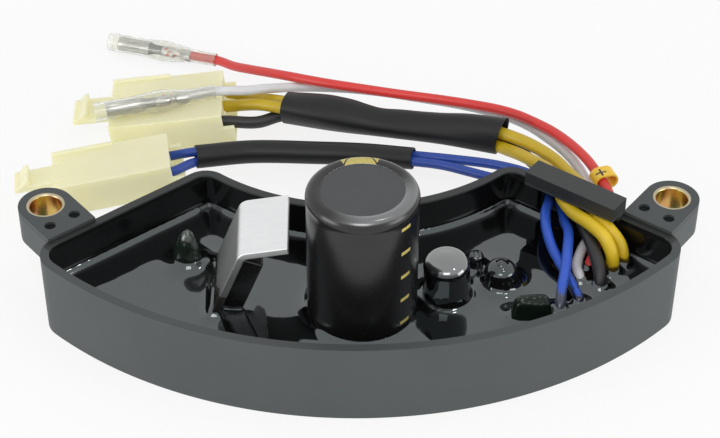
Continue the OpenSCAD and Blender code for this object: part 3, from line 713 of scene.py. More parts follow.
@dataclass(frozen=True)
class ResinFinish:
    """Mirror-glossy black casting resin."""

    name: str = "potting_black"
    colour: Colour = (0.0035, 0.0036, 0.004)
    lumps: float = 0.25
    depth: float = 0.05
    ior: float = 2.0
    crown_z: Optional[float] = None
    crown_ior: float = 2.4
    tint: Colour = (0.84, 0.93, 0.95)
    dust_tone: Colour = (0.03, 0.03, 0.03)

    def make(self) -> Material:
        """Builds the material."""
        sheet = Sheet.new(self.name)
        dust = sheet.noise(1.7, 2.0).rise(0.74, 0.82)
        rough = 0.025 + 0.03 * sheet.noise(0.12, 3.0) + 0.16 * dust
        colour = sheet.mix(dust * 0.35, self.colour, self.dust_tone)
        swell = sheet.noise(self.lumps, 1.0)
        crown: dict[str, Any] = {}
        if self.crown_z is not None:
            _, _, z = sheet.axes()
            crown["Coat_Weight"] = z.rise(self.crown_z - 0.3, self.crown_z + 0.3)
            crown["Coat_IOR"] = self.crown_ior
        return sheet.finish(
            Base_Color=colour,
            Roughness=rough,
            IOR=self.ior,
            Specular_Tint=self.tint,
            Normal=sheet.bump(swell, self.depth, 0.5),
            **crown,
        )


@dataclass(frozen=True)
class CanSleeveFinish:
    """Semi-gloss black shrink sleeve with a plain gold polarity stripe and a painted sheen on the front of
    its shoulder.
    """

    plan: Plan
    at: Pair
    top: float
    colour: Colour = (0.0075, 0.0075, 0.008)
    gold: Colour = (0.52, 0.43, 0.12)
    # Tint of the coat that gives the shoulder its painted sheen
    sheen_tint: Colour = (0.9, 0.97, 1.0)
    patch_at: float = 92.0
    column_at: float = -42.0
    # Turn at which the painted sheen on the shoulder is centred, in degrees
    sheen_at: float = -50.0

    def make(self) -> Material:
        """Builds the material."""
        sheet = Sheet.new("capacitor_sleeve_black")
        x, y, z = sheet.axes()
        dx, dy = x - self.at[0], y - (self.at[1] + self.plan.mid_y)
        turn = dy.maths(Op.ARCTAN2, dx) * (180 / math.pi)
        out = (dx * dx + dy * dy) ** 0.5
        # A gold patch with two slanted gaps on the shoulder at the back marks the negative side
        off = abs(turn - self.patch_at)
        patch = off.fall(22.2, 22.8) & z.rise(self.top - 1.1, self.top - 0.95)
        bars = abs(off - (68.2 - out * 5.5)).rise(1.0, 1.5)
        # A column of plain minus bars runs down the side, on the right and under the patch
        beat = (z * 0.17).maths(Op.FRACT)
        dashes = beat.rise(0.20, 0.215) & beat.fall(0.335, 0.35) & z.fall(self.top - 3.6, self.top - 3.5)
        column = abs(turn - self.column_at).fall(6.4, 6.8) | off.fall(6.4, 6.8)
        worn = sheet.noise(1.3, 4.0).rise(0.3, 0.42)
        print_mask = ((patch & bars) | (dashes & column)) * (0.75 + 0.25 * worn)
        cloud = sheet.noise(0.15, 4.0)
        colour = sheet.mix(print_mask, self.colour, self.gold)
        scuff = sheet.noise(0.9, 5.0).rise(0.6, 0.8)
        rough = 0.2 + 0.1 * cloud + 0.1 * scuff + 0.1 * print_mask
        ripple = sheet.noise(0.35, 2.0, sheet.stretched((1.0, 1.0, 0.25)))
        # Painted sheen: a glossy coat lies on the flat of the shoulder only towards the front and the right,
        # so that it is smoother and shines paler there
        pale = abs(turn - self.sheen_at).fall(35, 85) & z.rise(self.top - 0.75, self.top - 0.4)
        return sheet.finish(
            Base_Color=colour,
            Roughness=rough,
            IOR=1.52,
            Coat_Weight=pale,
            Coat_IOR=2.3,
            Coat_Roughness=0.25,
            Coat_Tint=self.sheen_tint,
            Normal=sheet.bump(ripple, 0.08, 0.5),
        )


@dataclass(frozen=True)
class BrushedFinish:
    """Bare aluminium strip with rolling lines, dark with resin at its foot, with painted shade on its leg
    below the bend.
    """

    plan: Plan
    front_y: float
    bend_z: float = 25.8
    colour: Colour = (0.82, 0.83, 0.835)
    line_tone: Colour = (0.60, 0.61, 0.615)
    spot_tone: Colour = (0.4, 0.4, 0.4)
    # Colour of the painted shade on the leg below the bend
    leg_shade_tone: Colour = (0.20, 0.205, 0.20)
    film_tone: Colour = (0.16, 0.15, 0.13)
    coat_tone: Colour = (0.02, 0.019, 0.017)

    def make(self) -> Material:
        """Builds the material."""
        sheet = Sheet.new("sink_brushed")
        _, y, z = sheet.axes()
        lines = sheet.noise(1.0, 4.0, sheet.stretched((0.22, 7.0, 0.22)))
        broad = sheet.noise(1.0, 3.0, sheet.stretched((0.06, 0.7, 0.06)))
        spots = sheet.noise(1.1, 4.0).rise(0.62, 0.75)
        front = (y - (self.front_y + self.plan.mid_y)).fall(2.0, 7.0)
        ragged = sheet.noise(0.7, 4.0)
        line = self.plan.potting_h + 2.3 + 2.4 * front + 1.4 * ragged
        coat = (line - z).rise(-0.15, 0.2)
        film = (line - z).rise(-1.6, 0.1) * 0.4
        tone = sheet.mix(broad, toned(self.colour, 0.9), self.colour)
        tone = sheet.mix(lines.rise(0.35, 0.75) * 0.3, tone, self.line_tone)
        tone = sheet.mix(spots * 0.25, tone, self.spot_tone)
        # Painted shade: below the bend the leg is darkened
        tone = sheet.mix(z.fall(self.bend_z - 1.6, self.bend_z) * 0.7, tone, self.leg_shade_tone)
        tone = sheet.mix(film, tone, self.film_tone)
        colour = sheet.mix(coat, tone, self.coat_tone)
        rough = (0.36 + 0.16 * lines + 0.08 * broad) * (1 - coat) + 0.22 * coat
        height = lines * (1 - coat)
        return sheet.finish(
            Base_Color=colour, Metallic=1 - coat, Roughness=rough, Normal=sheet.bump(height, 0.02, 0.4)
        )


@dataclass(frozen=True)
class PassivatedFinish:
    """Yellow passivated steel with rainbow clouds, pale on the end faces."""

    plan: Plan
    end_tone: Colour = (0.44, 0.41, 0.31)
    stops: Sequence[tuple[float, Colour]] = (
        (0.30, (0.52, 0.24, 0.18)),
        (0.42, (0.66, 0.35, 0.14)),
        (0.52, (0.66, 0.48, 0.13)),
        (0.62, (0.56, 0.52, 0.19)),
        (0.74, (0.50, 0.31, 0.31)),
    )

    def make(self) -> Material:
        """Builds the material."""
        sheet = Sheet.new("bush_passivated")
        _, _, z = sheet.axes()
        cloud = sheet.noise(0.32, 3.0, sheet.stretched((1.0, 1.0, 0.35)))
        fine = sheet.noise(2.5, 3.0, sheet.stretched((1.0, 1.0, 0.2)))
        end = z.rise(self.plan.ear_top - 0.34, self.plan.ear_top - 0.2)
        colour = sheet.mix(end * 0.85, sheet.ramp(cloud, self.stops), self.end_tone)
        rough = 0.2 + 0.12 * fine + 0.1 * end
        return sheet.finish(
            Base_Color=colour, Metallic=1.0, Roughness=rough, Normal=sheet.bump(fine, 0.02, 0.3)
        )


@dataclass(frozen=True)
class InsulationFinish:
    """Soft vinyl lead insulation, dark with resin where it leaves the potting, with painted shade behind the
    tray on some leads.
    """

    name: str
    colour: Colour
    plan: Plan
    wet_top: float = 11.4
    rough: float = 0.34
    wet_tone: Colour = (0.012, 0.011, 0.009)
    # How far the painted shade behind the tray darkens the lead
    behind_shade: float = 0.0
    mark_tone: Colour = (0.12, 0.11, 0.1)
    black: Colour = (0.0, 0.0, 0.0)

    def make(self) -> Material:
        """Builds the material."""
        sheet = Sheet.new(self.name)
        _, y, z = sheet.axes()
        cloud = sheet.noise(0.25, 4.0)
        grain = sheet.noise(3.0, 3.0)
        marks = sheet.noise(0.5, 5.0).rise(0.6, 0.78)
        in_tray = (y - self.plan.mid_y).fall(2.0, 6.0)
        wet = (z + 1.4 * sheet.noise(0.8, 3.0)).fall(self.wet_top + 0.4, self.wet_top + 1.2) & in_tray
        tone = sheet.mix(cloud, toned(self.colour, 0.88), toned(self.colour, 1.1))
        tone = sheet.mix(marks * 0.12, tone, self.mark_tone)
        # Painted shade: behind the tray some of the leads are darkened towards black
        tone = sheet.mix((1 - in_tray) * self.behind_shade, tone, self.black)
        colour = sheet.mix(wet * 0.94, tone, self.wet_tone)
        rough = (self.rough + 0.12 * grain + 0.08 * marks) * (1 - wet) + 0.08 * wet
        return sheet.finish(
            Base_Color=colour, Roughness=rough, IOR=1.5, Normal=sheet.bump(grain + cloud, 0.03, 0.25)
        )


@dataclass(frozen=True)
class TubingFinish:
    """Soft black tubing with a dull skin."""

    colour: Colour = (0.0065, 0.0068, 0.0075)
    chalk_tone: Colour = (0.024, 0.025, 0.026)

    def make(self) -> Material:
        """Builds the material."""
        sheet = Sheet.new("tubing_black")
        cloud = sheet.noise(0.2, 4.0)
        grain = sheet.noise(2.2, 4.0)
        chalk = sheet.noise(0.7, 5.0).rise(0.58, 0.8)
        colour = sheet.mix(chalk * 0.3, self.colour, self.chalk_tone)
        rough = 0.38 + 0.1 * cloud + 0.12 * chalk
        return sheet.finish(
            Base_Color=colour, Roughness=rough, IOR=1.4, Normal=sheet.bump(grain + 2 * cloud, 0.05, 0.3)
        )


@dataclass(frozen=True)
class NylonFinish:
    """Translucent natural nylon, yellower in its depth, that glows faintly by emission as painted light."""

    colour: Colour = (0.69, 0.67, 0.47)
    pale: Colour = (0.73, 0.715, 0.55)
    # Colour of the painted glow
    glow: Colour = (1.0, 0.96, 0.60)
    depth: Point = (1.0, 0.9, 0.45)

    def make(self) -> Material:
        """Builds the material."""
        sheet = Sheet.new("plug_nylon")
        cloud = sheet.noise(0.12, 4.0)
        grain = sheet.noise(2.5, 3.0)
        colour = sheet.mix(cloud, toned(self.colour, 0.95), self.pale)
        rough = 0.3 + 0.14 * grain
        return sheet.finish(
            Base_Color=colour,
            Roughness=rough,
            IOR=1.5,
            Transmission_Weight=0.22,
            Subsurface_Weight=1.0,
            Subsurface_Radius=self.depth,
            Subsurface_Scale=0.004,
            # Painted light: a faint emission stands in for light passing through the plug's walls
            Emission_Color=self.glow,
            Emission_Strength=0.16,
            Normal=sheet.bump(grain, 0.02, 0.25),
        )


@dataclass(frozen=True)
class ClearFinish:
    """Clear vinyl cover with a faint yellow cast."""

    colour: Colour = (0.94, 0.94, 0.88)
    pale: Colour = (0.96, 0.96, 0.92)

    def make(self) -> Material:
        """Builds the material."""
        sheet = Sheet.new("cover_clear")
        haze = sheet.noise(0.5, 3.0)
        colour = sheet.mix(haze, self.colour, self.pale)
        return sheet.finish(
            Base_Color=colour, Roughness=0.08 + 0.06 * haze, IOR=1.42, Transmission_Weight=0.9
        )


@dataclass(frozen=True)
class TinnedFinish:
    """Tinned metal with streaks along one direction."""

    name: str = "tinned"
    stretch: Point = (0.25, 3.0, 3.0)
    colour: Colour = (0.72, 0.71, 0.69)

    def make(self) -> Material:
        """Builds the material."""
        sheet = Sheet.new(self.name)
        streaks = sheet.noise(1.0, 4.0, sheet.stretched(self.stretch))
        cloud = sheet.noise(0.6, 3.0)
        colour = sheet.mix(streaks.rise(0.3, 0.7), toned(self.colour, 0.72), self.colour)
        rough = 0.2 + 0.2 * streaks + 0.08 * cloud
        return sheet.finish(
            Base_Color=colour, Metallic=1.0, Roughness=rough, Normal=sheet.bump(streaks, 0.03, 0.4)
        )


@dataclass(frozen=True)
class SocketFinish:
    """Tinned bullet socket with drawn streaks, a dark neck and red flecks in its crimp."""

    name: str
    foot: Point
    ahead: Point
    side: Point
    neck_dark: float
    colour: Colour = (0.74, 0.74, 0.74)
    neck_tone: Colour = (0.05, 0.05, 0.055)
    fleck_tone: Colour = (0.55, 0.07, 0.06)

    def make(self) -> Material:
        """Builds the material."""
        sheet = Sheet.new(self.name)
        along, across = sheet.reach(self.foot, self.ahead), sheet.reach(self.foot, self.side)
        _, _, z = sheet.axes()
        drawn = sheet.add("CombineXYZ", None, {0: along * 0.08, 1: across * 1.5, 2: z * 1.5}).outputs[0]
        streaks = sheet.noise(1.0, 3.0, drawn)
        neck = along.rise(7.1, 7.5) & along.fall(10.5, 10.9)
        fleck = sheet.noise(0.9, 2.0).rise(0.59, 0.63) & along.rise(2.2, 2.6) & along.fall(6.4, 7.0)
        tone = sheet.mix(streaks.rise(0.35, 0.65), toned(self.colour, 0.5), self.colour)
        tone = sheet.mix(neck * self.neck_dark, tone, self.neck_tone)
        tone = sheet.mix(fleck, tone, self.fleck_tone)
        return sheet.finish(
            Base_Color=tone,
            Metallic=1 - fleck,
            Roughness=0.22 + 0.16 * streaks + 0.12 * neck,
            Normal=sheet.bump(streaks, 0.04, 0.5),
        )


@dataclass(frozen=True)
class DippedFinish:
    """Dark green dipped resin with pale flecks."""

    name: str
    colour: Colour
    ior: float
    fleck_from: float
    lumps: float
    fleck_tone: Colour = (0.13, 0.18, 0.15)

    def make(self) -> Material:
        """Builds the material."""
        sheet = Sheet.new(self.name)
        _, _, z = sheet.axes()
        cloud = sheet.noise(0.35, 4.0)
        fleck = sheet.noise(1.5, 4.0).rise(0.56, 0.68) & z.rise(self.fleck_from - 0.5, self.fleck_from + 0.3)
        colour = sheet.mix(cloud, self.colour, toned(self.colour, 2.0))
        colour = sheet.mix(fleck * 0.5, colour, self.fleck_tone)
        return sheet.finish(
            Base_Color=colour,
            Roughness=0.14 + 0.2 * fleck + 0.08 * cloud,
            IOR=self.ior,
            Normal=sheet.bump(sheet.noise(0.9, 3.0), self.lumps, 0.5),
        )


@dataclass(frozen=True)
class PlainFinish:
    """A small piece's plain surface with a little cloud and grain."""

    name: str
    colour: Colour
    rough: float = 0.5
    metallic: float = 0.0
    grain: float = 3.0

    def make(self) -> Material:
        """Builds the material."""
        sheet = Sheet.new(self.name)
        cloud = sheet.noise(0.3, 4.0)
        grain = sheet.noise(self.grain, 3.0)
        colour = sheet.mix(cloud, toned(self.colour, 0.85), toned(self.colour, 1.15))
        return sheet.finish(
            Base_Color=colour,
            Metallic=self.metallic,
            Roughness=self.rough + 0.12 * grain,
            Normal=sheet.bump(grain, 0.03, 0.35),
        )


@dataclass(frozen=True)
class MarkerFinish:
    """Amber marker tube with a plain black plus sign on its top."""

    centre: Point
    across: Point
    along: Point
    colour: Colour = (0.90, 0.53, 0.03)
    pale: Colour = (0.94, 0.62, 0.06)
    ink: Colour = (0.03, 0.025, 0.02)
    depth: Point = (1.0, 0.6, 0.2)
    sign_off: Pair = (0.9, -0.3)
    arm: float = 1.15
    half: float = 0.2
    blur: float = 0.06

    def make(self) -> Material:
        """Builds the material."""
        sheet = Sheet.new("marker_amber")
        across = abs(sheet.reach(self.centre, self.across) - self.sign_off[0])
        along = abs(sheet.reach(self.centre, self.along) - self.sign_off[1])
        upright = across.fall(self.half, self.half + self.blur) & along.fall(self.arm, self.arm + self.blur)
        level = along.fall(self.half, self.half + self.blur) & across.fall(self.arm, self.arm + self.blur)
        normal = sheet.add("NewGeometry").outputs["Normal"]
        top = Val(sheet, sheet.add("SeparateXYZ", None, {0: normal}).outputs[2])
        sign = (upright | level) & top.rise(0.3, 0.5)
        cloud = sheet.noise(0.4, 4.0)
        tone = sheet.mix(cloud, self.colour, self.pale)
        colour = sheet.mix(sign, tone, self.ink)
        return sheet.finish(
            Base_Color=colour,
            Roughness=0.3 + 0.1 * cloud,
            Subsurface_Weight=0.3,
            Subsurface_Radius=self.depth,
            Subsurface_Scale=0.001,
            Normal=sheet.bump(sheet.noise(2.0, 3.0), 0.03, 0.3),
        )


@dataclass
class Tray:
    """The moulded case and its two bushes."""

    shop: Workshop
    edge: float = 0.28
    bush_edge: float = 0.12

    def dress(self) -> None:
        """Gives the case and the bushes their looks."""
        plan = self.shop.plan
        self.shop.crisp("case", "moulded_case", CaseFinish(plan).make(), "case_plastic", self.edge)
        bush = PassivatedFinish(plan).make()
        for name in ("left_bush", "right_bush"):
            self.shop.dress(name, bush, self.bush_edge, 2)
        self.shop.dress("circuit_board", PlainFinish("board_green", (0.05, 0.16, 0.06)).make())
        self.shop.dress("rectifier_diodes", PlainFinish("diode_black", (0.012, 0.012, 0.013), 0.35).make())
        self.shop.dress("resistors", PlainFinish("resistor_tan", (0.6, 0.45, 0.25), 0.4).make())


@dataclass(frozen=True)
class Rise:
    """A part that the resin climbs, as a round or a box in the plan."""

    at: Pair
    half: Pair
    radius: float
    climb: float = 1.0
    reach: float = 0.9

    def distance(self, x: np.ndarray, y: np.ndarray) -> np.ndarray:
        """How far points lie outside the part."""
        dx = np.maximum(np.abs(x - self.at[0]) - self.half[0], 0.0)
        dy = np.maximum(np.abs(y - self.at[1]) - self.half[1], 0.0)
        return np.maximum(np.hypot(dx, dy) - self.radius, 0.0)


@dataclass
class Potting:
    """The resin, whose surface climbs the walls and the parts that stand in it."""

    shop: Workshop
    rises: Sequence[Rise]
    step: float = 0.42
    under: float = 2.05
    sunk: float = 0.95
    wall_climb: float = 0.95
    wall_reach: float = 0.72
    wave: float = 0.05
    highest: float = 2.3
    half_x: float = 72.0
    front_y: float = -46.0
    back_y: float = 14.0
    sharp: float = 70.0

    def wall_distance(self, x: np.ndarray, y: np.ndarray) -> tuple[np.ndarray, np.ndarray]:
        """Signed distances from the inner face of the walls and from the slanted walls' thicker part."""
        plan = self.shop.plan
        ring = plan.outline(plan.wall)
        away = np.full(x.shape, np.inf)
        inside = np.zeros(x.shape, bool)
        for a, b in zip(ring, np.roll(ring, -1, axis=0)):
            edge = b - a
            length = edge @ edge
            if length < TINY:
                continue
            t = np.clip(((x - a[0]) * edge[0] + (y - a[1]) * edge[1]) / length, 0, 1)
            away = np.minimum(away, np.hypot(x - a[0] - t * edge[0], y - a[1] - t * edge[1]))
            if a[1] != b[1]:
                crosses = (a[1] > y) != (b[1] > y)
                inside ^= crosses & (x < a[0] + (y - a[1]) / (b[1] - a[1]) * edge[0])
        signed = np.where(inside, away, -away)
        ends = plan.end_off - plan.wall - plan.ledge - (np.abs(x) * plan.outward[0] + y * plan.outward[1])
        return signed, ends

    def build(self) -> Piece:
        """Builds the resin as one closed body."""
        plan = self.shop.plan
        xs = np.arange(-self.half_x, self.half_x + self.step, self.step)
        ys = np.arange(self.front_y, self.back_y + self.step, self.step)
        x, y = np.meshgrid(xs, ys, indexing="ij")
        wall, ends = self.wall_distance(x, y)
        kept = wall > -self.sunk
        near = np.maximum(np.minimum(wall, ends), 0.0)
        z = plan.potting_h + self.wall_climb * np.exp(-near / self.wall_reach)
        for part in self.rises:
            z += part.climb * np.exp(-part.distance(x, y) / part.reach)
        z += self.wave * np.sin(x * 0.21 + 0.6) * np.cos(y * 0.27 + x * 0.05)
        z = np.minimum(z, plan.potting_h + self.highest)
        number = -np.ones(x.shape, int)
        number[kept] = np.arange(int(kept.sum()))
        whole = kept[:-1, :-1] & kept[1:, :-1] & kept[1:, 1:] & kept[:-1, 1:]
        i, j = np.nonzero(whole)
        quads = np.column_stack([number[i, j], number[i + 1, j], number[i + 1, j + 1], number[i, j + 1]])
        points = np.column_stack([x[kept], y[kept] + plan.mid_y, z[kept]]) * MM
        body = bmesh.new()
        verts = [body.verts.new(p) for p in points]
        for quad in quads.tolist():
            body.faces.new([verts[k] for k in quad])
        loose = [v for v in body.verts if not v.link_faces]
        bmesh.ops.delete(body, geom=loose, context="VERTS")
        border = [e for e in body.edges if e.is_boundary]
        grown = bmesh.ops.extrude_edge_only(body, edges=border)["geom"]
        for item in grown:
            if isinstance(item, bmesh.types.BMVert):
                item.co.z = self.under * MM
        foot = [e for e in body.edges if e.is_boundary]
        bmesh.ops.edgeloop_fill(body, edges=foot)
        bmesh.ops.recalc_face_normals(body, faces=body.faces)
        data = bpy.data.meshes.new("potting_resin")
        body.to_mesh(data)
        body.free()
        data.shade_smooth()
        data.set_sharp_from_angle(angle=math.radians(self.sharp))
        piece = linked("potting_resin", data)
        return self.shop.register(piece, ResinFinish().make(), "potting_resin", "potting")


@dataclass
class MainCapacitor:
    """The large filter capacitor in its shrink sleeve."""

    shop: Workshop
    at: Pair = (0.0, -23.5)
    radius: float = 11.0
    top: float = 40.8
    shoulder: float = 1.9
    lip: float = 8.2
    skin: float = 0.3
    bead: float = 0.1
    sides: int = 128

    def build(self) -> None:
        """Builds the sleeve and dresses the disc, the can and the pins."""
        plan = self.shop.plan
        r, top, s, lip = self.radius, self.top, self.shoulder, self.lip
        profile = [(r, plan.board_top), (r, plan.potting_h + 2.0), (r, top - 8.0)]
        profile += [(r - 0.05, top - 3.6), (r - 0.12, top - 2.9), (r - 0.02, top - 2.4)]
        profile += fillet((r - s + self.bead, top - s), s, 0, 78, 12)
        profile += [(lip + 1.0, top - 0.02), (lip + 0.35, top - 0.06), (lip, top - 0.22), (lip, top - 0.45)]
        profile += [(lip + 0.3, top - 0.5), (r - s, top - s)]
        profile += [(r - self.skin, top - 3.4), (r - self.skin, plan.board_top)]
        base = Matrix.Translation((*self.at, 0.0))
        sleeve = self.shop.lathe("capacitor_sleeve", profile, base, self.sides, looped=True)
        finish = CanSleeveFinish(plan, self.at, self.top).make()
        self.shop.register(sleeve, finish, "capacitor_sleeve", "main_capacitor_sleeve")
        disc = PlainFinish("capacitor_disc_grey", (0.046, 0.048, 0.052), 0.42, 0.0, 4.0).make()
        self.shop.dress("main_capacitor_disc", disc, 0.06, 2)
        metal = TinnedFinish("can_drawn", (3.0, 3.0, 0.2), (0.7, 0.71, 0.72)).make()
        self.shop.dress("main_capacitor_can", metal)
        self.shop.dress("main_capacitor_pins", metal)


@dataclass
class HeatSink:
    """The bent aluminium strip and the power transistor under it."""

    shop: Workshop
    front_y: float = -25.3
    edge: float = 0.22

    def dress(self) -> None:
        """Gives the strip, the transistor and its legs their looks."""
        self.shop.dress("heat_sink", BrushedFinish(self.shop.plan, self.front_y).make(), self.edge, 2)
        body = PlainFinish("transistor_black", (0.007, 0.007, 0.0075), 0.2, 0.0, 2.0).make()
        self.shop.dress("power_transistor", body, 0.5, 3)
        self.shop.dress("transistor_legs", TinnedFinish("legs_tinned", (3.0, 3.0, 0.3)).make())


@dataclass(frozen=True)
class CanForm:
    """Sizes of a small can.

    Its turn is the rounding of its edge, its flare the height in which the skirt of resin thins out, and its
    lean is in degrees.
    """

    radius: float
    top: float
    turn: float
    dome: float
    skirt: float
    flare: float
    lean: float = 0.0


@dataclass
class SmallParts:
    """The small capacitors and the diode that stand out of the resin."""

    shop: Workshop
    feet: Sequence[Pair]
    block_top: float = 15.0
    block_half: Pair = (3.9, 2.0)
    drop_top: float = 18.2
    drop_r: float = 3.0
    lean_axis: Point = (0.85, -0.5, 0.0)
    crown: Sequence[float] = (0.92, 0.75, 0.55, 0.35, 0.15, 0.04)

    def __post_init__(self) -> None:
        """Works out where the parts stand."""
        behind = self.shop.plan.behind_front
        self.small_at = behind(17.3, 22.8)
        self.timing_at = behind(28.4, 22.3)
        self.stand_at = behind(23.6, 28.9)
        self.film_at = behind(33.8, 10.6)
        self.drop_at = behind(-35.6, 25.7)

    def rises(self) -> list[Rise]:
        """The parts that the resin climbs, the main capacitor and the heat sink among them."""
        return [
            Rise(MainCapacitor.at, DOT, MainCapacitor.radius, 1.5, 1.6),
            Rise(self.small_at, DOT, 5.2, 0.75, 1.0),
            Rise(self.timing_at, DOT, 4.4, 1.0, 1.1),
            Rise(self.stand_at, DOT, 1.9, 0.8, 0.8),
            Rise(self.film_at, (2.3, 0.2), 2.2, 1.0, 1.2),
            Rise(self.drop_at, DOT, 2.8, 1.6, 1.1),
            Rise((-29.7, -16.8), (0.8, 8.5), 0.0, 1.2, 1.0),
            Rise((-26.6, -16.8), (2.6, 6.5), 0.0, 1.0, 1.2),
            *[Rise(foot, DOT, 1.35, 1.5, 1.0) for foot in self.feet],
        ]

    def can(self, name: str, at: Pair, form: CanForm) -> Piece:
        """An upright can under a resin coat with a domed top.

        Args:
            name: the object's name.
            at: its axis in the plan.
            form: its sizes.

        Returns:
            The linked object.
        """
        plan = self.shop.plan
        radius, turn = form.radius, form.turn
        edge = form.top - form.dome
        profile = [(radius, plan.board_top), (radius + form.skirt, plan.potting_h - 0.4)]
        heights = np.linspace(0.0, edge - turn - plan.potting_h, 12)
        profile += [(radius + form.skirt * math.exp(-h / form.flare), plan.potting_h + h) for h in heights]
        profile += fillet((radius - turn, edge - turn), turn, 8, 80, 10)
        rim = radius - turn
        profile += [(rim * c, form.top - form.dome * c * c) for c in self.crown]
        lean = Matrix.Rotation(math.radians(form.lean), 4, Vector(self.lean_axis))
        pivot = Vector((0.0, 0.0, plan.potting_h))
        base = Matrix.Translation(Vector((*at, 0.0)) + pivot) @ lean @ Matrix.Translation(-pivot)
        return self.shop.lathe(name, profile, base, 64)

    def pillow(self) -> Piece:
        """The right film capacitor, a dipped block."""
        turns = full_turn(56)
        cos, sin = np.cos(turns), np.sin(turns)
        low, high, line = self.shop.plan.board_top, self.block_top, self.shop.plan.potting_h
        long, wide = self.block_half
        rings = []
        for t in np.concatenate([np.linspace(0, 0.7, 6), np.linspace(0.74, 0.985, 12)]):
            shrink = (1 - t**9) ** 0.33
            flare = 0.9 * math.exp(-max(0.0, low + (high - low) * t - line) / 0.9)
            wave = 0.1 * np.sin(3 * turns + 5 * t) + 0.06 * np.sin(7 * turns - 9 * t)
            x = (long * shrink + wave * shrink + flare) * np.sign(cos) * np.abs(cos) ** 0.5
            y = (wide * shrink + 0.5 * wave * shrink + flare) * np.sign(sin) * np.abs(sin) ** 0.65
            lift = 0.3 * t**6 * np.sin(turns * 2 + 0.8) * shrink
            z = low + (high - low) * t + lift
            rings.append(np.column_stack([self.film_at[0] + x, self.film_at[1] + y, z]))
        return self.shop.skin("film_capacitor_right", rings)

    def teardrop(self) -> Piece:
        """The left film capacitor, a dipped drop."""
        low, high = self.shop.plan.board_top, self.drop_top
        turns = full_turn(48)
        rings = []
        for t in np.linspace(0, 0.992, 22):
            radius = self.drop_r * (1 - t**3.2) ** 0.62 + 0.1
            wave = 1 + 0.04 * np.sin(2 * turns + 4 * t)
            x = self.drop_at[0] + radius * wave * np.cos(turns) + 0.25 * t * t
            y = self.drop_at[1] + 0.86 * radius * wave * np.sin(turns)
            rings.append(np.column_stack([x, y, np.full(turns.shape, low + (high - low) * t)]))
        return self.shop.skin("film_capacitor_left", rings)

    def build(self) -> None:
        """Builds the standing parts."""
        black = (0.006, 0.006, 0.0065)
        coated = ResinFinish("coated_black", black, 0.5, 0.12, 1.9).make()
        crowned = ResinFinish("crowned_black", black, 0.5, 0.12, 1.8, 19.2).make()
        cans = (
            ("small_can", "small_capacitor", self.small_at, CanForm(4.7, 20.7, 2.0, 0.5, 0.9, 1.2, 5.0)),
            ("timing_can", "timing_capacitor", self.timing_at, CanForm(3.3, 15.6, 1.9, 0.8, 2.6, 1.1)),
            ("standing_bead", "standing_diode", self.stand_at, CanForm(1.7, 14.0, 1.1, 0.4, 0.6, 0.7)),
        )
        for name, node, at, form in cans:
            skin = crowned if form.lean else coated
            self.shop.register(self.can(name, at, form), skin, "black_moulding", node)
        block = DippedFinish("dip_black_green", (0.004, 0.008, 0.005), 1.28, 14.3, 0.12).make()
        self.shop.register(self.pillow(), block, "green_dip", "right_film_capacitor")
        drop = DippedFinish("dip_green", (0.007, 0.012, 0.008), 1.75, 15.5, 0.03).make()
        self.shop.register(self.teardrop(), drop, "green_dip", "left_film_capacitor")


@dataclass(frozen=True)
class Seat:
    """Where a plug lies: the bottom of its mouth, its tilt and its turn in degrees."""

    at: Point
    tilt: float
    turn: float
    ways: int
    length: float = 26.0
    mid_h: float = 4.0
    pitch: float = 5.8
    lead_end: float = 21.0

    def point(self, x: float, y: float, z: float) -> np.ndarray:
        """A point of the plug's own frame in the drawing's frame."""
        c, s = math.cos(math.radians(self.tilt)), math.sin(math.radians(self.tilt))
        cy, sy = math.cos(math.radians(self.turn)), math.sin(math.radians(self.turn))
        flat = x * c - z * s
        return np.array(self.at) + np.array([flat * cy - y * sy, flat * sy + y * cy, x * s + z * c])

    def cell(self, index: int) -> list[np.ndarray]:
        """The last two points of a lead, at the mouth of its cell and inside it."""
        side = (index - (self.ways - 1) / 2) * self.pitch
        return [self.point(x, side, self.mid_h) for x in (self.length, self.lead_end)]


# Share of the wide tubing's length, and how far it stands off its leads there
LOOSE = (
    (0.0, 1.7), (0.05, 1.5), (0.165, 1.0), (0.27, 0.3), (0.36, 0.05), (0.46, 0.0), (0.55, -0.2),
    (0.63, 0.45), (0.69, 1.05), (0.8, 1.4), (0.9, 1.05), (0.97, 0.65), (1.0, 0.55),
)


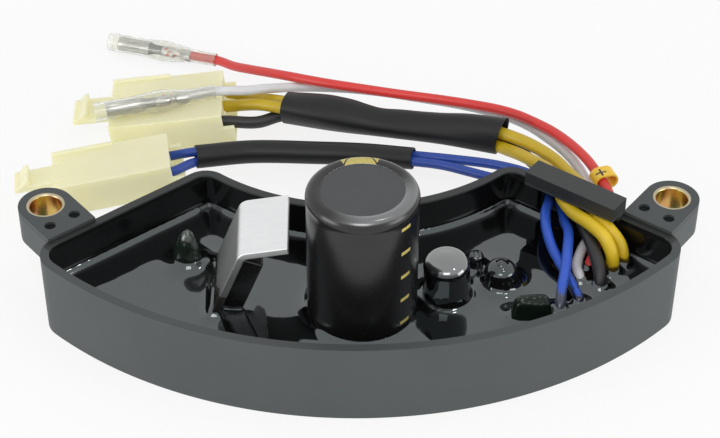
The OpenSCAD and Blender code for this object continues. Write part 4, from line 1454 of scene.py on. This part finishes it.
@dataclass
class Sleeve:
    """A length of tubing over two or three leads."""

    shop: Workshop
    name: str
    node: str
    way: np.ndarray
    outer: float
    lobe: float
    lobes: int
    first: float
    twist: float
    loose: Sequence[Pair] = ()
    skin: float = 0.32
    sides: int = 40
    bulge_at: float = 51.0
    mouth: float = 0.08
    mouth_tilt: float = 0.8

    def swell(self, share: float) -> float:
        """How far the tubing stands off the leads on its upper back side, at a share of its length."""
        if not self.loose:
            return 0.0
        line = flowing(np.array([(100 * s, 10 * off, 0.0) for s, off in self.loose]), 2.0)
        return float(np.interp(100 * share, line[:, 0], line[:, 1])) / 10

    def ring(self, centre: np.ndarray, ahead: np.ndarray, share: float, inset: float) -> np.ndarray:
        """One ring of the tubing's section."""
        side = unit(np.array([ahead[1], -ahead[0], 0.0]))
        above = np.cross(side, ahead)
        turns = full_turn(self.sides)
        phase = math.radians(self.first + self.twist * share)
        bulge = self.swell(share) * (0.5 + 0.5 * np.cos(turns - math.radians(self.bulge_at))) ** 2
        radius = self.outer + self.lobe * np.cos(self.lobes * (turns - phase)) - inset + bulge
        tilt = max(0.0, 1 - share / self.mouth) * self.mouth_tilt * bulge
        return section(centre - tilt[:, None] * ahead, side, above, radius)

    def build(self, material: Material) -> Piece:
        """Builds the tubing with its open ends and puts it on the part."""
        line = flowing(self.way, 0.9)
        ahead = tangents(line)
        shares = np.linspace(0, 1, len(line))
        outside = [self.ring(c, t, s, 0.0) for c, t, s in zip(line, ahead, shares)]
        inside = [self.ring(c, t, s, self.skin) for c, t, s in zip(line, ahead, shares)]
        piece = self.shop.skin(self.name, outside + inside[::-1], looped=True, sharp=50)
        return self.shop.register(piece, material, "lead_sleeve", self.node)


@dataclass
class Lead:
    """One lead as a curve through its route."""

    shop: Workshop
    name: str
    node: str
    slot: str
    way: np.ndarray
    diameter: float
    material: Material
    spacing: float = 0.8

    def build(self) -> Piece:
        """Builds the curve and puts it on the part."""
        line = flowing(self.way, self.spacing)
        curve = bpy.data.curves.new(self.name, "CURVE")
        curve.dimensions = "3D"
        curve.bevel_depth = self.diameter / 2 * MM
        curve.bevel_resolution = 5
        curve.use_fill_caps = True
        spline = curve.splines.new("POLY")
        spline.points.add(len(line) - 1)
        for point, where in zip(spline.points, line):
            point.co = (*self.shop.plan.place(where), 1.0)
        spline.use_smooth = True
        return self.shop.register(linked(self.name, curve), self.material, self.slot, self.node)

    def declare(self, piece: Piece, ends: Sequence[Any]) -> None:
        """Works out the lead's smooth line and where it leaves the potting, and does nothing with them."""
        line = flowing(self.way, self.spacing)
        exit_point = self.shop.plan.place((*self.way[0][:2], self.shop.plan.potting_h))
        self.diameter * MM


# Reach from the end of the lead, radius and pinch of a bullet socket, along its outside and back in its bore
SOCKET_FORM = (
    (0.0, 1.3, 0.25), (2.6, 1.35, 0.3), (2.9, 1.0, 0.0), (3.9, 1.0, 0.0), (4.2, 1.3, 0.28),
    (7.3, 1.3, 0.28), (7.7, 1.1, 0.0), (9.6, 1.15, 0.0), (10.9, 1.7, 0.0), (11.6, 1.7, 0.0),
    (16.2, 1.7, 0.0), (17.0, 1.73, 0.0), (18.5, 1.72, 0.0), (18.8, 1.62, 0.0),
    (18.7, 1.35, 0.0), (11.6, 1.35, 0.0), (11.3, 0.3, 0.0),
)

# Reach from the end of the lead and inner radius of a clear cover
COVER_FORM = (
    (-6.4, 1.15), (-4.0, 1.15), (-0.5, 1.2), (3.0, 1.7), (6.5, 2.13), (9.5, 1.98), (12.5, 1.77), (17.0, 1.75),
    (21.4, 1.75),
)


@dataclass
class Harness:
    """The seven leads, their sleeves, the marker, the plugs and the bullet sockets."""

    shop: Workshop
    power_d: float = 2.8
    sense_d: float = 2.15
    field_d: float = 2.2
    play: float = 0.12
    bend_z: float = 10.8
    marker_on: int = 7
    power_turn: float = 92.0
    power_twist: float = -69.0
    sense_twist: float = 45.0
    half_step: float = 15.0
    seam_from: float = 11.2
    cover_wall: float = 0.4
    two_way: Seat = Seat((-66.3, 25.5, 0.1), 7.5, 7.0, 2)
    three_way: Seat = Seat((-55.6, 50.5, 0.1), 6.5, 0.5, 3)
    yellow_way: np.ndarray = field(
        default_factory=lambda: np.array(
            [[31.7, 31.2, 11.4], [20, 35.4, 10.9], [8.5, 39, 10], [-4, 42.5, 9.5], [-16, 47, 9]], float
        )
    )
    blue_way: np.ndarray = field(
        default_factory=lambda: np.array(
            [[12.5, 27.5, 9], [2, 30.5, 8], [-9, 32, 7.5], [-23.5, 32.5, 7.6], [-35.8, 29.8, 8.4]], float
        )
    )

    def feet(self) -> dict[str, Pair]:
        """Where the leads leave the board."""
        behind = self.shop.plan.behind_front
        return {
            "red": behind(47, 15.7),
            "white": behind(44.6, 14),
            "front_yellow": behind(51.6, 11.6),
            "back_yellow": behind(54.1, 11.8),
            "black": behind(48.6, 10),
            "left_blue": behind(39.4, 8.7),
            "right_blue": behind(43.7, 8.7),
        }

    def laid(self, way: np.ndarray, rho: float, start: float, twist: float) -> list[np.ndarray]:
        """The route of a lead beside the middle of a sleeve, turning round it."""
        legs = np.diff(way, axis=0)
        legs /= np.linalg.norm(legs, axis=1)[:, None]
        ahead = [legs[0], *[unit(a + b) for a, b in zip(legs, legs[1:])], legs[-1]]
        points = []
        for i, (centre, t) in enumerate(zip(way, ahead)):
            a = math.radians(start + twist * i / (len(way) - 1))
            side = unit(np.array([t[1], -t[0], 0.0]))
            points.append(centre + rho * (math.cos(a) * side + math.sin(a) * UP))
        return points

    def in_three(self, index: int) -> list[np.ndarray]:
        """The route of one of the three leads in the wide tubing.

        A smooth line through turned points runs inside them, so the points stand off a little further.
        """
        rho = (self.power_d + self.play) / math.sqrt(3) / math.cos(math.radians(self.half_step))
        return self.laid(self.yellow_way, rho, self.power_turn + 120 * index, self.power_twist)

    def in_two(self, index: int) -> list[np.ndarray]:
        """The route of one of the two leads in the slim tubing."""
        return self.laid(self.blue_way, (self.sense_d + self.play) / 2, 180 * index, self.sense_twist)

    def risen(self, foot: Pair) -> list[Point]:
        """The first stretch of a lead, straight up out of the board and the resin."""
        return [(*foot, self.shop.plan.board_top), (*foot, self.bend_z)]

    def routes(self) -> dict[str, np.ndarray]:
        """The routes of all leads, from the board to their far ends."""
        ways = {
            "red": [
                (48, -9.5, 11.4), (49.3, -6.5, 12.6), (50.7, -3.5, 13.6), (52.3, 0, 14.2), (53, 6, 15),
                (51.7, 11.5, 15.2), (50.1, 17.5, 15), (47.2, 24.3, 14.5), (43.7, 30.3, 13.8),
                (40.2, 34.8, 13.1), (36.6, 38.6, 12.5), (32.5, 41.4, 12.1), (26.3, 43.7, 12),
                (19.3, 45.4, 12.2), (10.2, 46.8, 12.8), (1.8, 48.4, 13.3), (-6.4, 50.9, 13.2),
                (-14.8, 55.9, 11.7), (-19.5, 60.2, 9.8), (-24.2, 65.3, 7.3), (-28.7, 70.5, 4.8),
                (-33.3, 76, 2.9), (-39.4, 78.05, 2.85),
            ],
            "white": [
                (44.3, -12.6, 11), (45.6, -8.2, 11.3), (47.9, -4, 12.2), (49, 0, 13), (49.6, 5, 12.5),
                (49.8, 10.8, 12.1), (48.9, 17.1, 12), (47.5, 21.9, 11.9), (45.3, 26.6, 11.8),
                (42.7, 31.4, 11.25), (39.7, 36.3, 10.6), (36, 40.3, 10.15), (32.1, 42.95, 10),
                (27.2, 45.5, 9.8), (21.85, 47.55, 9.75), (15, 49.25, 10), (7, 51.15, 10.3),
                (-0.85, 52.65, 10.4), (-5, 53.55, 10.1), (-9, 54.2, 9.85), (-12.2, 54.35, 9.8),
                (-15.25, 53.7, 10.2), (-18.2, 52.2, 11.1), (-21.35, 50.35, 12.2), (-24.55, 48.7, 13),
                (-31.9, 48.05, 13.3), (-38.2, 47.15, 12.65),
            ],
            "front_yellow": [
                (51.2, -12.3, 14.5), (49.8, -10.2, 16.9), (47, -6.7, 17.8), (44.3, -2.3, 17.1),
                (42.6, 2, 17.1), (42, 7, 17), (41.5, 10.8, 16.5), (40.3, 14.7, 15.8), (37.9, 19.3, 14.3),
                (35.3, 23.5, 13), (33.4, 26.8, 11.6), *self.in_three(1), (-22.5, 48.3, 9.3),
                *self.three_way.cell(1),
            ],
            "back_yellow": [
                (53.3, -9.1, 14.3), (51, -6.8, 16.6), (48.8, -3.2, 17.2), (48, 1, 17.2), (48, 5.3, 16.8),
                (46.9, 8.9, 16), (45.5, 12.6, 15.3), (42.6, 19.4, 14.6), (39.2, 24.6, 13.9),
                (35.7, 28.5, 13.3), *self.in_three(0), (-22, 52.2, 8.2), *self.three_way.cell(2),
            ],
            "black": [
                (48.4, -15.6, 13), (47.7, -11, 14.5), (46.9, -6, 14.7), (46.3, -1.5, 14.3),
                (46.3, 3.5, 13.3), (45, 9, 12.3), (42.5, 16.5, 11.2), (38.6, 24.5, 10), (35.4, 30.2, 9.9),
                *self.in_three(2), (-22.5, 44.9, 6.7), *self.three_way.cell(0),
            ],
            "left_blue": [
                (40.2, -21.6, 13), (41.5, -15.8, 14.3), (42.5, -10, 14.6), (43.2, -5, 14.2), (42.9, 0, 13.2),
                (42.7, 4.5, 12.9), (42, 9, 12.3), (40.3, 12, 11.4), (37, 14.8, 11), (33, 16.2, 11.2),
                (28.5, 17.3, 11.5), (24.5, 19.8, 11), (18.5, 23.7, 10), *self.in_two(1),
                *self.two_way.cell(0),
            ],
            "right_blue": [
                (42.8, -19, 11.4), (41, -13, 12), (39.5, -8.5, 13), (38.7, -4, 14.3), (39, 1, 14.6),
                (40.2, 5.5, 14.2), (40.6, 9.5, 14), (39.6, 13, 13.6), (36, 17, 13), (30, 21, 12),
                (21.5, 25, 10.5), *self.in_two(0), *self.two_way.cell(1),
            ],
        }
        feet = self.feet()
        return {name: np.array(self.risen(feet[name]) + way, float) for name, way in ways.items()}

    def socket(self, name: str, way: np.ndarray) -> Piece:
        """A tinned bullet socket with its crimp, at the end of a lead."""
        ahead, side, above = end_axes(way)
        turns = full_turn(48)
        groove = np.exp(-((turns - math.pi / 2) / 0.25) ** 2)
        seam = np.exp(-((turns - math.pi * 0.62) / 0.09) ** 2)
        rings = []
        for reach, radius, pinch in SOCKET_FORM:
            shape = radius + pinch * (0.6 * np.cos(2 * turns) - 0.5 * groove)
            if reach > self.seam_from and radius > 1.0:
                shape = shape - 0.16 * seam
            rings.append(section(way[-1] + ahead * reach, side, above, shape))
        return self.shop.skin(name, rings, sharp=45)

    def cover(self, name: str, way: np.ndarray) -> Piece:
        """A clear cover that swells over the crimp and narrows onto the lead."""
        ahead, side, above = end_axes(way)
        stations = np.array([(reach, radius, 0.0) for reach, radius in COVER_FORM])
        inside = [(float(p[1]), float(p[0])) for p in flowing(stations, 0.7)]
        outside = [(radius + self.cover_wall, height) for radius, height in inside]
        base = framed(side, above, ahead, way[-1])
        return self.shop.lathe(name, outside + inside[::-1], base, 72, looped=True)

    def insulation(self) -> dict[str, Material]:
        """The leads' materials by colour."""
        plan = self.shop.plan
        blue_tone, yellow_wet, dusty_wet = (0.026, 0.104, 0.60), (0.05, 0.033, 0.008), (0.075, 0.08, 0.09)
        finishes = {
            "red": InsulationFinish("insulation_red", (0.69, 0.042, 0.037), plan, 10.6),
            "white": InsulationFinish("insulation_white", (0.70, 0.70, 0.71), plan, 10.6),
            "yellow": InsulationFinish(
                "insulation_yellow", (0.75, 0.52, 0.016), plan, 12.4, wet_tone=yellow_wet, behind_shade=0.25
            ),
            "black": InsulationFinish("insulation_black", (0.014, 0.014, 0.015), plan, 11.2, 0.4),
            "blue": InsulationFinish("insulation_blue", blue_tone, plan, 12.0, behind_shade=0.45),
            "dusty": InsulationFinish(
                "insulation_blue_dusty", blue_tone, plan, 13.3, wet_tone=dusty_wet, behind_shade=0.45
            ),
        }
        return {name: finish.make() for name, finish in finishes.items()}

    def run_leads(self, ways: dict[str, np.ndarray]) -> dict[str, tuple[Lead, Piece]]:
        """Builds the seven leads along their routes."""
        coats = self.insulation()
        sizes = {"red": self.field_d, "white": self.field_d, "blue": self.sense_d}
        leads = {}
        for name, way in ways.items():
            colour = name.split("_")[-1]
            coat = coats["dusty" if name == "left_blue" else colour]
            size = sizes.get(colour, self.power_d)
            lead = Lead(self.shop, f"{name}_wire", f"{name}_lead", f"{colour}_insulation", way, size, coat)
            leads[name] = (lead, lead.build())
        return leads

    def bullet(self, name: str, way: np.ndarray, neck_dark: float, clear: Material) -> list[Piece]:
        """Builds the socket and the clear cover at the end of a lead."""
        ahead, side, _ = end_axes(way)
        foot = tuple(c / MM for c in self.shop.plan.place(way[-1]))
        axes = tuple(map(float, ahead)), tuple(map(float, side))
        drawn = SocketFinish(f"{name}_socket_tinned", foot, *axes, neck_dark).make()
        socket = self.socket(f"{name}_bullet_socket", way)
        cover = self.cover(f"{name}_clear_cover", way)
        return [
            self.shop.register(socket, drawn, "tinned_metal", f"{name}_socket"),
            self.shop.register(cover, clear, "clear_vinyl", f"{name}_socket_cover"),
        ]

    def build(self) -> None:
        """Builds the leads and everything on them."""
        shop, nodes = self.shop, self.shop.nodes
        ways = self.routes()
        leads = self.run_leads(ways)
        tubing = TubingFinish().make()
        wide = Sleeve(
            shop, "tubing_of_three", "yellow_lead_sleeve", self.yellow_way, 3.36, 0.24, 3,
            self.power_turn, self.power_twist, LOOSE,
        )
        slim = Sleeve(
            shop, "tubing_of_two", "blue_lead_sleeve", self.blue_way, 2.5, 0.14, 2, 0.0, self.sense_twist
        )
        over_three, over_two = wide.build(tubing), slim.build(tubing)
        nylon, tinned, clear = NylonFinish().make(), TinnedFinish().make(), ClearFinish().make()
        for ways_of in ("two_way", "three_way"):
            shop.dress(f"{ways_of}_plug", nylon, 0.22, 2)
            shop.dress(f"{ways_of}_terminals", tinned, 0.08, 2)
        red_end = self.bullet("red", ways["red"], 0.85, clear)
        white_end = self.bullet("white", ways["white"], 0.3, clear)
        shop.dress("polarity_marker", self.marker_finish(ways["red"]).make(), 0.12, 2)
        three = [over_three, nodes["three_way_plug"], nodes["three_way_terminals"]]
        two = [over_two, nodes["two_way_plug"], nodes["two_way_terminals"]]
        ends = {
            "red": [*red_end, nodes["polarity_marker"]],
            "white": white_end,
            "front_yellow": three,
            "back_yellow": three,
            "black": three,
            "left_blue": two,
            "right_blue": two,
        }
        for name, (lead, piece) in leads.items():
            lead.declare(piece, ends[name])

    def marker_finish(self, red: np.ndarray) -> MarkerFinish:
        """The marker's material, with its sign on the top."""
        low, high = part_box("polarity_marker")
        centre = tuple(float(c) / MM for c in (low + high) / 2)
        ahead = unit(red[self.marker_on + 1] - red[self.marker_on - 1])
        across = unit(np.array([-ahead[1], ahead[0], 0.0]))
        return MarkerFinish(centre, tuple(map(float, across)), tuple(map(float, ahead)))


@dataclass(frozen=True)
class Lamp:
    """A soft square lamp aimed at a point."""

    name: str
    at: Point
    aim: Point
    size: float
    radiance: float

    def build(self) -> None:
        """Builds the lamp."""
        data = bpy.data.lights.new(self.name, "AREA")
        data.size = self.size
        data.energy = self.radiance * math.pi * self.size * self.size
        lamp = linked(self.name, data)
        lamp.location = self.at
        lamp.rotation_mode = "QUATERNION"
        lamp.rotation_quaternion = (Vector(self.aim) - Vector(self.at)).to_track_quat("-Z", "Y")


@dataclass
class Studio:
    """The camera of the photograph, a pale floor and soft light."""

    plan: Plan
    aim: Point = (0.490, 17.477, 0.0)
    distance: float = 419.66
    pitch: float = 39.05
    yaw: float = 1.371
    roll: float = 0.192
    lens: float = 95.0
    sensor: float = 36.0
    floor_half: float = 1.5
    floor_drop: float = 0.0001
    floor_tone: Colour = (0.93, 0.93, 0.93)
    white: Colour = (1.0, 1.0, 1.0)
    floor_glow: float = 0.8
    tent: float = 0.62
    lamps: Sequence[Lamp] = (
        Lamp("softbox_over", (-0.03, -0.42, 0.58), (0.0, 0.0, 0.02), 0.28, 4.0),
        Lamp("softbox_left", (-0.75, -0.35, 0.22), (0.0, 0.0, 0.02), 0.45, 4.0),
        Lamp("softbox_right", (0.75, -0.35, 0.22), (0.0, 0.0, 0.02), 0.45, 4.0),
        Lamp("spark_top", (0.14, 0.06, 0.56), (0.0, 0.0, 0.0), 0.035, 26.0),
    )

    def camera(self) -> None:
        """Sets the camera where the photograph was taken."""
        p, w, r = (math.radians(a) for a in (self.pitch, self.yaw, self.roll))
        ahead = Vector((math.sin(w) * math.cos(p), math.cos(w) * math.cos(p), -math.sin(p)))
        right = Vector((math.cos(w), -math.sin(w), 0.0))
        level, upright = right, right.cross(ahead)
        right = level * math.cos(r) + upright * math.sin(r)
        above = upright * math.cos(r) - level * math.sin(r)
        spot = Vector(self.plan.place(self.aim)) - ahead * self.distance * MM
        data = bpy.data.cameras.new("camera")
        data.sensor_width = self.sensor
        data.lens = self.lens
        data.clip_start, data.clip_end = 0.01, 20.0
        camera = linked("camera", data)
        camera.matrix_world = framed(right, above, -ahead, spot)
        bpy.context.scene.camera = camera

    @staticmethod
    def seen(sheet: Sheet) -> Val:
        """A mask for rays from the camera, off gloss and through clear pieces."""
        path = sheet.add("LightPath")
        camera, gloss, clear = (
            Val(sheet, path.outputs[f"Is {kind} Ray"]) for kind in ("Camera", "Glossy", "Transmission")
        )
        return camera | gloss | clear

    def floor(self) -> None:
        """Lays a plain pale floor that keeps the part's shadow."""
        half = self.floor_half
        data = bpy.data.meshes.new("floor")
        corners = [(-half, -half, 0), (half, -half, 0), (half, half, 0), (-half, half, 0)]
        data.from_pydata(corners, [], [(0, 1, 2, 3)])
        floor = linked("floor", data)
        floor.location.z = -self.floor_drop
        sheet = Sheet.new("floor_pale")
        pale = sheet.principled(Base_Color=self.floor_tone, Roughness=0.8, Specular_IOR_Level=0.1)
        glow = sheet.add("Emission", None, {"Color": self.white, "Strength": 1.0})
        share = self.seen(sheet) * self.floor_glow
        both = sheet.add("MixShader", None, {0: share, 1: pale.outputs[0], 2: glow.outputs[0]})
        data.materials.append(sheet.close(both))

    def world(self) -> None:
        """Lights the part softly from all round, in front of a white background."""
        world = bpy.data.worlds.new("tent")
        bpy.context.scene.world = world
        sheet = Sheet(world)
        strength = self.tent + (1 - self.tent) * self.seen(sheet)
        back = sheet.add("Background", None, {"Color": self.white, "Strength": strength})
        sheet.add("OutputWorld", None, {"Surface": back.outputs[0]})

    def build(self) -> None:
        """Builds the floor and the light."""
        self.floor()
        self.world()
        for lamp in self.lamps:
            lamp.build()
        bpy.context.scene.view_settings.view_transform = "Standard"


def main() -> None:
    """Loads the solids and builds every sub-assembly."""
    logging.basicConfig(level=logging.INFO, format="%(name)s %(message)s")
    for thing in list(bpy.data.objects):
        bpy.data.objects.remove(thing)
    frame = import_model()
    low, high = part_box("left_bush")
    plan = Plan(mid_y=(low.y + high.y) / 2 / MM)
    shop = Workshop(frame, plan)
    studio = Studio(plan)
    studio.camera()
    harness = Harness(shop)
    harness.build()
    Tray(shop).dress()
    parts = SmallParts(shop, list(harness.feet().values()))
    Potting(shop, parts.rises()).build()
    MainCapacitor(shop).build()
    HeatSink(shop).dress()
    parts.build()
    studio.build()


if __name__ == "__main__":
    main()
